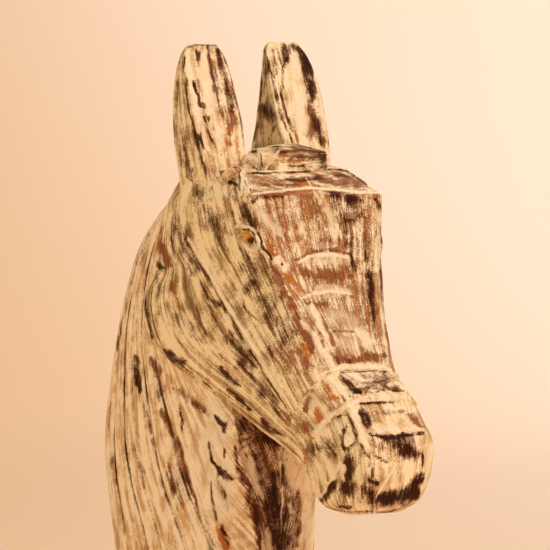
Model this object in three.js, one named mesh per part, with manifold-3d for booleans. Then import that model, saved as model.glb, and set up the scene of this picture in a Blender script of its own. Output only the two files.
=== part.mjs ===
// A horse's head carved from one block of wood, on its long neck, with an eye bead set in each side.
// The neck is cut flat below, so that the carving stands by its own weight.
// Millimetres, +Z up. The horse looks along -Y and its left side is +X.
// The origin is the middle of the flat underside.
import * as THREE from "three";
import { mergeVertices } from "three/addons/utils/BufferGeometryUtils.js";
import Module from "manifold-3d";

const wasm = await Module();
wasm.setup();

// Sections. Each lies in a plane across the carving, from a point on its front line to one on its back line.
// "forward" is the distance ahead of the origin and "up" the height. Widths are half widths.

const headKeys = [
  "faceForward", "faceUp", "jawForward", "jawUp",
  "face", "edge", "edgeDepth", "cheek", "ridge", "jaw",
];
const headRows = [
  [122, 397, 42, 394, 50, 57, 8, 70, 0.7, 60],
  [159, 376, 20, 367, 70, 75, 4, 73, 0.72, 62],
  [168.5, 337, 5, 334, 61, 67, 5, 71, 0.66, 62],
  [174, 315.6, 0, 308, 55, 62, 5, 69, 0.52, 61],
  [178, 305, -15, 290, 52, 59, 5, 68, 0.43, 60],
  [183, 292, -20, 270, 48, 56, 6, 66, 0.355, 59],
  [193, 273, -10, 244, 41, 52, 7, 64, 0.31, 58],
  [205, 254, 20, 225, 35, 49, 9, 62, 0.31, 56],
  [213, 240, 56, 208, 32, 46, 10, 59, 0.31, 53],
  [220, 227, 100, 189, 29, 45, 10, 56, 0.35, 49],
  [231, 216, 134, 172, 31, 43, 9, 52, 0.45, 46],
  [242, 205, 158, 159, 33, 42, 9, 46, 0.55, 41],
  [254, 190, 180, 146, 33, 41, 9, 43, 0.66, 38],
];
const cheekStep = 2.5; // the cheek plane stands this far above the band of hair behind it
const hairGroove = 0.6;

const bandKeys = [
  "topForward", "topUp", "underForward", "underUp", "face", "edge", "edgeDepth", "side", "under",
];
const bandRows = [
  [220.5, 228, 168, 165, 30, 45, 11, 53, 45],
  [231.5, 217.5, 181, 157, 32.5, 44.5, 10, 50.5, 44],
  [243, 206, 193, 148, 35, 44, 9, 48, 43],
];

const muzzleKeys = ["noseForward", "noseUp", "chinForward", "chinUp", "nose", "lip", "chin"];
const muzzleRows = [
  [236, 212, 190, 153, 33, 43, 40],
  [243, 206, 194, 147, 36, 49, 44.5],
  [254.5, 190, 196, 140, 37, 48.5, 44],
  [267, 175, 198, 134, 37, 47, 43],
  [270.5, 160, 199.5, 128, 37, 46, 42],
  [269.5, 140, 203, 120, 34, 43, 39],
  [263, 120, 209, 112, 28, 37, 32],
  [248, 108.5, 222, 106.5, 16, 24, 18],
];

const neckKeys = [
  "throatForward", "throatUp", "crestForward", "crestUp", "width", "throat", "bevel", "covered",
];
const neckRows = [
  [112, 0, -112, 0, 58, 20, 26, 0.05],
  [109, 50, -121, 48, 57, 21, 26, 0.06],
  [108.5, 110, -135, 110, 56, 32, 25, 0.08],
  [108.5, 145, -138.5, 152, 55, 44, 22, 0.1],
  [106, 172, -132, 198, 54, 47, 18, 0.16],
  [90, 195, -121, 240, 53, 42, 16, 0.3],
  [70, 212, -103, 288, 53, 38, 16, 0.42],
  [58, 240, -80, 330, 53, 36, 16, 0.5],
  [55, 290, -50, 357, 53, 34, 16, 0.5],
  [60, 335, -18, 376, 52, 32, 16, 0.5],
  [70, 372, 18, 388, 46, 28, 14, 0.5],
];
const throatRecess = 3.5; // the mane's front edge stands this far ahead of the throat
const locks = 8; // locks of mane on each side of the neck
const lockGroove = 1.6;

const earKeys = ["up", "front", "inner", "outer", "depth"];
const earRows = [
  [375, 101, 26, 70, 58],
  [411, 90, 24, 72, 52],
  [434, 82, 21, 73, 45],
  [463, 72, 20.5, 73, 32],
  [483, 65, 21.5, 72, 20],
  [496, 60.5, 23.5, 69, 12],
  [503, 58, 26.5, 65, 9],
  [508, 56.5, 31, 60, 6],
];
const earHollow = 2.5;

const tuftKeys = ["frontForward", "frontUp", "backForward", "backUp", "width"];
const tuftRows = [
  [122, 385, 40, 385, 38],
  [127.5, 403, 40, 405, 38],
  [126.5, 412.5, 48, 421, 36],
];

const eye = { radius: 7, forward: 146, up: 341, out: 61.5 };
const lid = { rearTip: -17, frontTip: 27, tilt: 31, over: 9, under: 8, rim: 3.2, height: 2.4, depth: 3.5 };
const gap = 0.3; // between an eye bead and its socket

const wood = new THREE.MeshStandardMaterial({ color: 0xd9c3a0, roughness: 0.75, metalness: 0 });
const amber = new THREE.MeshStandardMaterial({ color: 0xb87a1e, roughness: 0.12, metalness: 0 });

function table(keys, rows) {
  return rows.map((row) => Object.fromEntries(keys.map((key, i) => [key, row[i]])));
}

// A smooth curve through a table's rows, at a place counted in rows from the first.
function at(list, place) {
  const i = Math.min(Math.floor(place), list.length - 2);
  const t = place - i;
  const [a, b, c, d] = [-1, 0, 1, 2].map((k) => list[THREE.MathUtils.clamp(i + k, 0, list.length - 1)]);
  const mix = (p, q, r, s) =>
    q + 0.5 * t * (r - p + t * (2 * p - 5 * q + 4 * r - s + t * (3 * (q - r) + s - p)));
  return Object.fromEntries(Object.keys(b).map((key) => [key, mix(a[key], b[key], c[key], d[key])]));
}

// A closed outline with rounded corners. A corner is [x, y, radius, points on the way to the next, their dip].
function outline(corners) {
  const points = [];
  corners.forEach(([x, y, radius, between = 0, dip = 0], i) => {
    const here = new THREE.Vector2(x, y);
    const [before, after] = [-1, 1].map((k) => {
      const [px, py] = corners[(i + k + corners.length) % corners.length];
      const way = new THREE.Vector2(px, py).sub(here);
      return way.setLength(Math.min(radius, 0.45 * way.length())).add(here);
    });
    if (radius > 0) {
      const bend = new THREE.QuadraticBezierCurve(before, here, after);
      points.push(...bend.getPoints(2));
    } else {
      points.push(here);
    }
    const [nx, ny] = corners[(i + 1) % corners.length];
    const next = new THREE.Vector2(nx, ny);
    const normal = new THREE.Vector2(here.y - next.y, next.x - here.x).normalize();
    for (let k = 1; k <= between; k++) {
      const point = here.clone().lerp(next, k / (between + 1));
      points.push(k % 2 ? point.addScaledVector(normal, dip) : point);
    }
  });
  return points;
}

// The corners of one side, mirrored so that the outline is closed and the same on both.
function bothSides(corners) {
  const mirrored = corners.map(([x, y, radius], i) => {
    const [, , , between, dip] = corners[i - 1] ?? [];
    return [-x, y, radius, between, dip];
  });
  return [...corners, ...mirrored.reverse()];
}

// Places an outline's x and y in the plane that runs from a front point to a back point.
function place(points, frontForward, frontUp, backForward, backUp) {
  const way = new THREE.Vector2(backForward - frontForward, backUp - frontUp).normalize();
  return points.map(
    (p) => new THREE.Vector3(p.x, -(frontForward + way.x * p.y), frontUp + way.y * p.y),
  );
}

// A closed surface over rings of points, with a flat fan at each end.
function loft(rings) {
  const n = rings[0].length;
  const middle = (ring) =>
    ring.reduce((sum, p) => sum.add(p), new THREE.Vector3()).divideScalar(ring.length);
  const points = [...rings.flat(), middle(rings[0]), middle(rings.at(-1))];
  const [first, last] = [n * rings.length, n * rings.length + 1];
  const faces = [];
  for (let j = 0; j < n; j++) {
    const k = (j + 1) % n;
    faces.push(first, k, j);
    for (let i = 0; i + 1 < rings.length; i++) {
      const [a, b, c, d] = [i * n + j, i * n + k, (i + 1) * n + j, (i + 1) * n + k];
      faces.push(a, b, d, a, d, c);
    }
    faces.push(last, n * (rings.length - 1) + j, n * (rings.length - 1) + k);
  }
  return new THREE.BufferGeometry().setFromPoints(points).setIndex(faces);
}

function solid(geometry) {
  const bare = geometry.clone();
  bare.deleteAttribute("normal");
  bare.deleteAttribute("uv");
  const merged = mergeVertices(bare, 1e-3);
  const make = (triVerts) =>
    new wasm.Manifold(
      new wasm.Mesh({ numProp: 3, vertProperties: merged.attributes.position.array, triVerts }),
    );
  const faces = new Uint32Array(merged.index.array);
  const made = make(faces);
  return made.volume() > 0 ? made : make(faces.reverse());
}

function geometryOf(manifold) {
  const mesh = manifold.getMesh();
  const geometry = new THREE.BufferGeometry();
  geometry.setAttribute("position", new THREE.BufferAttribute(mesh.vertProperties, 3));
  geometry.setIndex(new THREE.BufferAttribute(mesh.triVerts, 1));
  geometry.computeVertexNormals();
  return geometry;
}

function steps(count, end) {
  return Array.from({ length: count + 1 }, (_, i) => (i * end) / count);
}

// The head, with its sides moved out by "grow".
function headSolid(grow = 0) {
  const rows = table(headKeys, headRows);
  const [crown, brow] = rows;
  const shelf = [0, 1 / 3, 2 / 3].map((t) => at([crown, crown, brow, brow], 1 + t));
  const sections = [...shelf, ...steps(24, rows.length - 2).map((p) => at(rows.slice(1), p))];
  const rings = sections.map((s) => {
    const length = Math.hypot(s.faceForward - s.jawForward, s.faceUp - s.jawUp);
    const ridge = s.ridge * length;
    const corners = [
      [s.face + grow, -grow, 3, 1],
      [s.edge + grow, s.edgeDepth - grow, 5, 2],
      [s.cheek + grow, ridge, 0, 0],
      [s.cheek + grow - cheekStep, ridge + 2, 0, 5, hairGroove],
      [s.jaw + grow, length - 1, 8, 1],
    ];
    return place(outline(bothSides(corners)), s.faceForward, s.faceUp, s.jawForward, s.jawUp);
  });
  return solid(loft(rings));
}

function bandSolid() {
  const rings = table(bandKeys, bandRows).map((s) => {
    const length = Math.hypot(s.topForward - s.underForward, s.topUp - s.underUp);
    const corners = [
      [s.face, 0, 4, 1],
      [s.edge, s.edgeDepth, 6, 1],
      [s.side, 0.5 * length, 12, 1],
      [s.under, length, 8, 1],
    ];
    return place(outline(bothSides(corners)), s.topForward, s.topUp, s.underForward, s.underUp);
  });
  return solid(loft(rings));
}

function muzzleSolid() {
  const rows = table(muzzleKeys, muzzleRows);
  const rings = steps(14, rows.length - 1).map((p) => {
    const s = at(rows, p);
    const length = Math.hypot(s.noseForward - s.chinForward, s.noseUp - s.chinUp);
    const corners = [
      [s.nose, 0, 7, 0],
      [s.lip, 0.3 * length, 12, 1],
      [s.lip, 0.75 * length, 12, 0],
      [s.chin, length, 9, 1],
    ];
    return place(outline(bothSides(corners)), s.noseForward, s.noseUp, s.chinForward, s.chinUp);
  });
  return solid(loft(rings));
}

// One side of the neck's outline, from the mane's front edge to the crest, by its share of the way.
function maneCurve(s, length) {
  const back = steps(24, Math.PI / 2).map((angle) => {
    const [x, y] = [Math.cos(angle) ** 0.87, Math.sin(angle) ** 0.87];
    return new THREE.Vector2(s.width * x, s.bevel + (length - s.bevel) * y);
  });
  const curve = new THREE.SplineCurve([new THREE.Vector2(s.throat + 3, -throatRecess), ...back]);
  curve.arcLengthDivisions = 400;
  return (share) => {
    const point = curve.getPointAt(share);
    const along = curve.getTangentAt(share);
    return { point, inward: new THREE.Vector2(-along.y, along.x) };
  };
}

function neckSolid() {
  const rows = table(neckKeys, neckRows);
  const rings = steps(22, rows.length - 1).map((p) => {
    const s = at(rows, p);
    const length = Math.hypot(s.throatForward - s.crestForward, s.throatUp - s.crestUp);
    const curve = maneCurve(s, length);
    const half = [new THREE.Vector2(s.throat / 2, 0), new THREE.Vector2(s.throat, 0)];
    for (let k = 0; k < 3; k++) half.push(curve((s.covered * k) / 3).point);
    for (let k = 0; k < 3 * locks; k++) {
      const { point, inward } = curve(s.covered + ((1 - s.covered) * k) / (3 * locks));
      half.push(point.addScaledVector(inward, k % 3 ? 0 : lockGroove));
    }
    const mirrored = half.map((v) => new THREE.Vector2(-v.x, v.y)).reverse();
    const ring = [new THREE.Vector2(0, 0), ...half, new THREE.Vector2(0, length), ...mirrored];
    return place(ring, s.throatForward, s.throatUp, s.crestForward, s.crestUp);
  });
  return solid(loft(rings));
}

function earSolid(side) {
  const rows = table(earKeys, earRows);
  const rings = steps(12, rows.length - 1).map((p) => {
    const s = at(rows, p);
    const back = -s.front + s.depth;
    const middle = (s.inner + s.outer) / 2;
    const corners = [
      [s.inner, -s.front, 3, 0],
      [middle, -s.front + Math.min(earHollow, 0.3 * s.depth), 8, 0],
      [s.outer, -s.front, 3, 0],
      [s.outer - 2, back, 0.35 * s.depth, 1],
      [s.inner + 4, back, 0.35 * s.depth, 0],
    ];
    return outline(corners).map((v) => new THREE.Vector3(side * v.x, v.y, s.up));
  });
  return solid(loft(rings));
}

function tuftSolid() {
  const rows = table(tuftKeys, tuftRows);
  const rings = rows.map((s) => {
    const corners = [
      [s.width, 0, 3, 0],
      [s.width, s.frontForward - s.backForward, 3, 0],
    ];
    return place(outline(bothSides(corners)), s.frontForward, s.frontUp, s.backForward, s.backUp);
  });
  return solid(loft(rings));
}

// A prism across one side of the head on the almond of the eyelids, drawn in by "inset".
function almondSolid(side, inset) {
  const tilt = THREE.MathUtils.degToRad(lid.tilt);
  const shape = new THREE.Shape();
  shape.moveTo(lid.rearTip + 1.6 * inset, 0);
  shape.quadraticCurveTo(-2, 2 * (lid.over - inset), lid.frontTip - 1.6 * inset, 0);
  shape.quadraticCurveTo(-2, -2 * (lid.under - inset), lid.rearTip + 1.6 * inset, 0);
  const geometry = new THREE.ExtrudeGeometry(shape, {
    depth: 60, bevelEnabled: false, curveSegments: 10,
  });
  // The almond's x runs forward and down, and its y up and forward.
  const frame = new THREE.Matrix4().makeBasis(
    new THREE.Vector3(0, -Math.cos(tilt), -Math.sin(tilt)),
    new THREE.Vector3(0, -Math.sin(tilt), Math.cos(tilt)),
    new THREE.Vector3(side, 0, 0),
  );
  geometry.applyMatrix4(frame);
  return solid(geometry.translate(side * 30, -eye.forward, eye.up));
}

function eyeBall(side, radius) {
  const ball = new THREE.SphereGeometry(radius, 20, 14);
  ball.rotateY(Math.PI / 2);
  return ball.translate(side * eye.out, -eye.forward, eye.up);
}

const sides = { right: -1, left: 1 };
const lidTop = headSolid(lid.height);
const lidFloor = headSolid(-lid.depth);
let carving = headSolid().add(neckSolid()).add(bandSolid()).add(muzzleSolid()).add(tuftSolid());
for (const side of Object.values(sides)) {
  carving = carving.add(earSolid(side)).add(almondSolid(side, 0).intersect(lidTop));
  carving = carving.subtract(almondSolid(side, lid.rim).subtract(lidFloor));
  carving = carving.subtract(solid(eyeBall(side, eye.radius + gap)));
}

const horse = new THREE.Group();
const carved = new THREE.Mesh(geometryOf(carving.asOriginal().simplify(0.05)), wood);
carved.name = "horse_head";
horse.add(carved);
for (const [name, side] of Object.entries(sides)) {
  const bead = new THREE.Mesh(eyeBall(side, eye.radius), amber);
  bead.name = `${name}_eye`;
  horse.add(bead);
}

export default horse;
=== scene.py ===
# A horse's head carved in wood and whitewashed, dressed over its CAD frame for Blender 4.5.
# Metres in the scene; the tables and the shaping below are in millimetres. The horse looks along -Y.
import math

import bmesh
import bpy
import numpy as np
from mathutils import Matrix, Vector


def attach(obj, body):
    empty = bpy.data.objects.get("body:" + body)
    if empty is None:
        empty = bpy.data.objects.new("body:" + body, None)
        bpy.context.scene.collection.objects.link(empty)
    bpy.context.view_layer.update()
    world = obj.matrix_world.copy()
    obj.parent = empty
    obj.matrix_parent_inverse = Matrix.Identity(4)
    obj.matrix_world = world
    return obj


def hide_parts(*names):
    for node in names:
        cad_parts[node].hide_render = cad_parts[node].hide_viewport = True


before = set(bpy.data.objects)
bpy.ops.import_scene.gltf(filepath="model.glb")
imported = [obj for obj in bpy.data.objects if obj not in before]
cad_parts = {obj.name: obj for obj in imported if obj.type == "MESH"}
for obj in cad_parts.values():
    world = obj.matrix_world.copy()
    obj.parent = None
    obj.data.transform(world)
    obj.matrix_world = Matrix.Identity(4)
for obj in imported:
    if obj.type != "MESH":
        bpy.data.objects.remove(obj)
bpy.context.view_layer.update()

MM = 0.001
FINE = 1.45  # spacing of the mesh across the near side, which the photograph shows
COARSE = 2.5  # and across the far side
SECTION_STEP = 2.4  # from one section of the head or an ear to the next
MUZZLE_STEP, NECK_STEP = 2.0, 4.0  # and of the muzzle and the neck
NEAR, FAR = -1, 1  # the horse's right side, at -X, and its left side

# Sections of the carving, each in a plane from a point on its front line to one on its back line. "Forward"
# is the distance ahead of the origin and "up" the height. Widths are half widths.
HEAD_KEYS = ["face_forward", "face_up", "jaw_forward", "jaw_up",
             "face", "edge", "edge_depth", "cheek", "ridge", "jaw"]
HEAD_ROWS = [
    [122, 397, 42, 394, 50, 57, 8, 70, 0.7, 60],
    [159, 376, 20, 367, 70, 75, 4, 73, 0.72, 62],
    [168.5, 337, 5, 334, 61, 67, 5, 71, 0.66, 62],
    [174, 315.6, 0, 308, 55, 62, 5, 69, 0.52, 61],
    [178, 305, -15, 290, 52, 59, 5, 68, 0.43, 60],
    [183, 292, -20, 270, 48, 56, 6, 66, 0.355, 59],
    [193, 273, -10, 244, 41, 52, 7, 64, 0.31, 58],
    [205, 254, 20, 225, 35, 49, 9, 62, 0.31, 56],
    [213, 240, 56, 208, 32, 46, 10, 59, 0.31, 53],
    [220, 227, 100, 189, 29, 45, 10, 56, 0.35, 49],
    [231, 216, 134, 172, 31, 43, 9, 52, 0.45, 46],
    [242, 205, 158, 159, 33, 42, 9, 46, 0.55, 41],
    [254, 190, 180, 146, 33, 41, 9, 43, 0.66, 38],
]
SHELF_SECTIONS = 18  # between the first two rows, which bound the flat shelf at the poll
CHEEK_STEP = 2.5  # the cheek plane stands this far above the band of hair behind it
CHEEK_STEP_RUN = 2.2  # and comes down to it over this length
STEP_FADE_UP, STEP_FADE = 385, 60  # it fades out over the second length, up to the first
RIDGE_FADE_UP, RIDGE_FADE = 372, 40  # and so do its lip and the groove behind it
FAR_SWELL, FAR_SWELL_UP, FAR_SWELL_REACH = 3.0, 296, 22  # the nose's far edge swells, round this height
RIDGE_LIP, RIDGE_LIP_REACH = 1.1, 2.0  # the raised edge of the cheek plane
TRENCH_DEPTH, TRENCH_PLACE, TRENCH_WIDTH = 1.6, 4.2, 3.4  # the groove behind that edge
HAIR_LINES = (0.16, 0.29, 0.40, 0.52, 0.63, 0.75, 0.86, 0.95)  # places across the band of hair
HAIR_DEPTH, HAIR_WIDTH, HAIR_WANDER = 1.1, 2.3, 0.018
FACE_HOLLOW = 0.7  # the face dips by this along its middle line
FACET_HEIGHT = 0.35  # of the knife's flats on the head
DENT_HEIGHT = 0.4  # and on the muzzle
NO_LINE = 9.0  # stands for a distance from a line that a point isn't near

BAND_SECTIONS = 16
BAND_STEP = 16  # from one row to the next
BAND_KEYS = ["top_forward", "top_up", "under_forward", "under_up",
             "face", "edge", "edge_depth", "side", "under"]
BAND_ROWS = [
    [220.5, 228, 168, 165, 30, 45, 11, 53, 45],
    [231.5, 217.5, 181, 157, 32.5, 44.5, 10, 50.5, 44],
    [243, 206, 193, 148, 35, 44, 9, 48, 43],
]

MUZZLE_FINE = 1.9  # spacing of the mesh across the muzzle's near side
MUZZLE_KEYS = ["nose_forward", "nose_up", "chin_forward", "chin_up", "nose", "lip", "chin"]
MUZZLE_ROWS = [
    [236, 212, 190, 153, 33, 43, 40],
    [243, 206, 194, 147, 36, 49, 44.5],
    [254.5, 190, 196, 140, 37, 48.5, 44],
    [267, 175, 198, 134, 37, 47, 43],
    [270.5, 160, 199.5, 128, 37, 46, 42],
    [269.5, 140, 203, 120, 34, 43, 39],
    [263, 120, 209, 112, 28, 37, 32],
    [248, 108.5, 222, 106.5, 16, 24, 18],
]

NECK_KEYS = ["throat_forward", "throat_up", "crest_forward", "crest_up", "width", "throat", "bevel"]
NECK_ROWS = [
    [112, 0, -112, 0, 58, 20, 26],
    [109, 50, -121, 48, 57, 21, 26],
    [108.5, 110, -135, 110, 56, 32, 25],
    [108.5, 145, -138.5, 152, 55, 44, 22],
    [106, 172, -132, 198, 54, 47, 18],
    [90, 195, -121, 240, 53, 42, 16],
    [70, 212, -103, 288, 53, 38, 16],
    [58, 240, -80, 330, 53, 36, 16],
    [55, 290, -50, 357, 53, 34, 16],
    [60, 335, -18, 376, 52, 32, 16],
    [70, 372, 18, 388, 46, 28, 14],
]
THROAT_RECESS = 3.5  # the mane's front edge stands this far ahead of the throat
THROAT_WIDTH = 30  # across half of it, for the spacing of its mesh
SQUARENESS = 0.87  # the power that fills out the neck's rounded back
MANE_KNOTS = 25

EAR_KEYS = ["up", "front", "inner", "outer", "depth", "inner_back"]
EAR_ROWS = [
    [375, 101, 26, 70, 58, 16],
    [411, 90, 24, 72, 52, 20],
    [434, 82, 21, 73, 45, 25.5],
    [463, 72, 20.5, 73, 32, 28],
    [483, 65, 21.5, 72, 20, 27],
    [496, 60.5, 23.5, 69, 12, 26.5],
    [503, 58, 26.5, 65, 9, 28],
    [508, 56.5, 31, 60, 6, 33],
]
EAR_HOLLOW = 2.5
EAR_FINE, EAR_COARSE = 1.7, 2.0
EAR_FLOW = 1000.0  # keeps each ear's grain apart from that of the rest


def spline(before, here, there, after, t):
    """A smooth curve from here to there, bent by the values before and after them."""
    bend = 2 * before - 5 * here + 4 * there - after + t * (3 * (here - there) + after - before)
    return here + 0.5 * t * (there - before + t * bend)


def table(keys, rows, places):
    """Smooth curves through a table's rows, at places counted in rows from the first."""
    rows = np.array(rows, float)
    i = np.minimum(np.floor(places).astype(int), len(rows) - 2)
    t = (np.asarray(places, float) - i)[:, None]
    values = spline(*(rows[np.clip(i + k, 0, len(rows) - 1)] for k in (-1, 0, 1, 2)), t)
    return dict(zip(keys, values.T))


def even_places(rows, columns, spacing):
    """Places along a table that are about "spacing" apart, by the distance that its columns cover."""
    fine = np.linspace(0, len(rows) - 1, 60 * len(rows))
    line = np.stack([table(range(len(rows[0])), rows, fine)[c] for c in columns], 1)
    pairs = line.reshape(len(fine), -1, 2)
    way = np.linalg.norm(np.diff(pairs, axis=0), axis=2).max(1)
    far = np.concatenate([[0], np.cumsum(way)])
    return np.interp(np.linspace(0, far[-1], max(4, round(far[-1] / spacing)) + 1), far, fine)


def toward(here, there, radius):
    """The points that far from here on the way to there, short of the middle."""
    way = there - here
    length = np.linalg.norm(way, axis=1, keepdims=True)
    return here + way * np.minimum(radius, 0.45 * length) / np.maximum(length, 1e-9)


def walk(corners, spacing, closed=False):
    """Points along every section's outline, through corners (x, y, radius) with x and y for each section.

    Returns the points, and for each point the number of its stretch and its share of that stretch.
    """
    size = max(np.size(v) for x, y, _ in corners for v in (x, y))
    full = lambda value: np.broadcast_to(value, size).astype(float)
    spots = [np.stack([full(x), full(y)], 1) for x, y, _ in corners]
    radii = [np.broadcast_to(r, size)[:, None] for *_, r in corners]
    n = len(spots)
    points, stretch, share = [], [], []

    def run(make, length, number):
        count = max(1, round(float(np.mean(length)) / spacing))
        for k in range(count):
            points.append(make(k / count))
            stretch.append(number)
            share.append(k / count)

    for k in range(n if closed else n - 1):
        here, there = spots[k], spots[(k + 1) % n]
        rounded = np.any(radii[k] > 0) and (closed or k > 0)
        leave = toward(here, there, radii[k]) if rounded else here
        if rounded:
            before = toward(here, spots[k - 1], radii[k])
            length = 0.8 * np.linalg.norm(leave - before, axis=1)
            bend = lambda t, a=before, b=here, c=leave: (1 - t) ** 2 * a + 2 * t * (1 - t) * b + t * t * c
            run(bend, np.maximum(length, 2.1 * spacing), k - 0.5)
        last = not closed and k == n - 2
        arrive = there if last else toward(there, here, radii[(k + 1) % n])
        length = np.linalg.norm(arrive - leave, axis=1)
        run(lambda t, a=leave, b=arrive: a + (b - a) * t, length, k)
    if not closed:
        points.append(spots[-1])
        stretch.append(n - 2)
        share.append(1.0)
    return np.stack(points, 1), np.array(stretch), np.array(share)


def outward(points):
    """The outline's unit normal at each point, for outlines that run from the front round to the back."""
    along = np.gradient(points, axis=1)
    along /= np.maximum(np.linalg.norm(along, axis=2, keepdims=True), 1e-9)
    return np.stack([along[..., 1], -along[..., 0]], 2)


def arc_length(points):
    """How far along its outline each point lies."""
    way = np.linalg.norm(np.diff(points, axis=1), axis=2)
    return np.concatenate([np.zeros((len(points), 1)), np.cumsum(way, axis=1)], 1)


def line_run(s, line):
    """How far each section lies along the line of its front or back points."""
    steps = np.hypot(np.diff(s[line + "_forward"]), np.diff(s[line + "_up"]))
    return np.cumsum(np.concatenate([[0], steps]))


def plane_length(s, front, back):
    """Each section's length, from its front point to its back point."""
    return np.hypot(s[front + "_forward"] - s[back + "_forward"], s[front + "_up"] - s[back + "_up"])


def place(points, s, front, back):
    """Moves outlines, x and y, into their planes from a front point to a back point."""
    forward, up = s[front + "_forward"], s[front + "_up"]
    way = np.stack([s[back + "_forward"] - forward, s[back + "_up"] - up], 1)
    way /= np.linalg.norm(way, axis=1, keepdims=True)
    y = points[..., 1]
    return np.stack([points[..., 0], -(forward[:, None] + way[:, :1] * y), up[:, None] + way[:, 1:] * y], 2)


def wander(x, y, seed):
    """Smooth seeded random values from -1 to 1 over two coordinates, with one cell for each unit."""
    cells = 128
    lattice = np.random.default_rng(seed).uniform(-1, 1, (cells, cells))
    x, y = np.broadcast_arrays(np.asarray(x, float), np.asarray(y, float))
    i, j = np.floor(x).astype(int), np.floor(y).astype(int)
    s, t = x - i, y - j
    s, t = s * s * (3 - 2 * s), t * t * (3 - 2 * t)
    at = lambda a, b: lattice[(i + a) % cells, (j + b) % cells]
    return (at(0, 0) * (1 - s) + at(1, 0) * s) * (1 - t) + (at(0, 1) * (1 - s) + at(1, 1) * s) * t


def valley(distance, width):
    """1 in the middle of a groove of that half width, 0 outside it."""
    return np.clip(1 - (distance / width) ** 2, 0, 1) ** 1.5


def half(points, u, v, carved):
    """One side of a loft: its outlines, the flow across and along in millimetres, and how deep it is cut."""
    made = {"points": points}
    for key, values in (("u", u), ("v", v), ("carved", carved)):
        made[key] = np.broadcast_to(values, points.shape[:2])
    return made


def rings_of(far, near):
    """Closes the two halves into whole rings, with each value given at both ends of every edge."""
    points = np.concatenate([far["points"], (near["points"] * (-1, 1))[:, -2:0:-1]], 1)
    sides = {}
    for key, sign in (("u", -1), ("v", 1), ("carved", 1)):
        start = np.concatenate([far[key][:, :-1], sign * near[key][:, :0:-1]], 1)
        end = np.concatenate([far[key][:, 1:], sign * near[key][:, -2::-1]], 1)
        sides[key] = (start, end)
    return points, sides


def new_object(name, data):
    obj = bpy.data.objects.new(name, data)
    bpy.context.scene.collection.objects.link(obj)
    return obj


def set_region(mesh, region):
    kind = mesh.attributes.new("region", "INT", "FACE")
    kind.data.foreach_set("value", np.full(len(mesh.polygons), region, np.int32))


def loft(name, points, sides, region):
    """A closed mesh over rings of points, fanned shut at each end, with its flow, its cut and its region."""
    rings, n = points.shape[:2]
    co = np.concatenate([points.reshape(-1, 3), points[:1].mean(1), points[-1:].mean(1)])
    index = np.arange(rings * n).reshape(rings, n)
    across = np.roll(index, -1, 1)
    quads = np.stack([index[:-1], across[:-1], across[1:], index[1:]], -1).reshape(-1, 4)
    first = np.stack([np.full(n, rings * n), across[0], index[0]], -1)
    last = np.stack([np.full(n, rings * n + 1), index[-1], across[-1]], -1)
    corners = {}
    for key, (start, end) in sides.items():
        body = np.stack([start[:-1], end[:-1], end[1:], start[1:]], -1).reshape(-1)
        top = np.stack([start[0], end[0], start[0]], -1).reshape(-1)
        tail = np.stack([end[-1], start[-1], end[-1]], -1).reshape(-1)
        corners[key] = np.concatenate([body, top, tail])
    verts = np.concatenate([quads.reshape(-1), first.reshape(-1), last.reshape(-1)])
    counts = np.concatenate([np.full(len(quads), 4), np.full(2 * n, 3)])
    a, b, c = (co[quads[:, k]] for k in (0, 1, 2))
    if np.einsum("ij,ij->", np.cross(b - a, c - a), (a + b + c) / 3 - co.mean(0)) < 0:
        ends = np.cumsum(counts)
        order = np.concatenate([np.arange(e - 1, e - k - 1, -1) for e, k in zip(ends, counts)])
        verts = verts[order]
        corners = {key: value[order] for key, value in corners.items()}
    mesh = bpy.data.meshes.new(name)
    mesh.vertices.add(len(co))
    mesh.vertices.foreach_set("co", (co * MM).astype(np.float32).ravel())
    mesh.loops.add(len(verts))
    mesh.loops.foreach_set("vertex_index", verts.astype(np.int32))
    mesh.polygons.add(len(counts))
    mesh.polygons.foreach_set("loop_start", (np.cumsum(counts) - counts).astype(np.int32))
    mesh.update(calc_edges=True)
    mesh.validate()
    flow = mesh.uv_layers.new(name="flow")
    flow.uv.foreach_set("vector", np.stack([corners["u"], corners["v"]], 1).astype(np.float32).ravel() * MM)
    cut = mesh.uv_layers.new(name="cut")
    depth = corners["carved"].astype(np.float32)
    cut.uv.foreach_set("vector", np.stack([depth, 0 * depth], 1).ravel())
    set_region(mesh, region)
    return new_object(name, mesh)


# The regions of the carving, by the loft that they come from.
HEAD, BAND, MUZZLE, NECK, EARS, TUFT = range(6)


def head_sections():
    """The head's sections: straight over the shelf, between the first two rows, and smooth below it."""
    shelf = np.linspace(0, 1, SHELF_SECTIONS, endpoint=False)
    back, front = (np.array(row, float)[:, None] for row in HEAD_ROWS[:2])
    top = dict(zip(HEAD_KEYS, back * (1 - shelf) + front * shelf))
    rest = table(HEAD_KEYS, HEAD_ROWS[1:], even_places(HEAD_ROWS[1:], (0, 1, 2, 3), SECTION_STEP))
    return {key: np.concatenate([top[key], rest[key]]) for key in HEAD_KEYS}


def hair_depth(stretch, share, along, width):
    """The cuts between the strands of the band of hair behind the cheek."""
    depth = np.zeros((len(along), len(share)))
    for k, spot in enumerate(HAIR_LINES):
        line = spot + HAIR_WANDER * wander(along / 45, k, 11)
        distance = np.where(stretch == 4, np.abs(share - line), NO_LINE) * width[:, None]
        strength = np.clip(0.75 + 0.6 * wander(along / 60, k + 9, 12), 0.15, 1.2)
        depth = np.maximum(depth, HAIR_DEPTH * strength * valley(distance, HAIR_WIDTH))
    return depth


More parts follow.
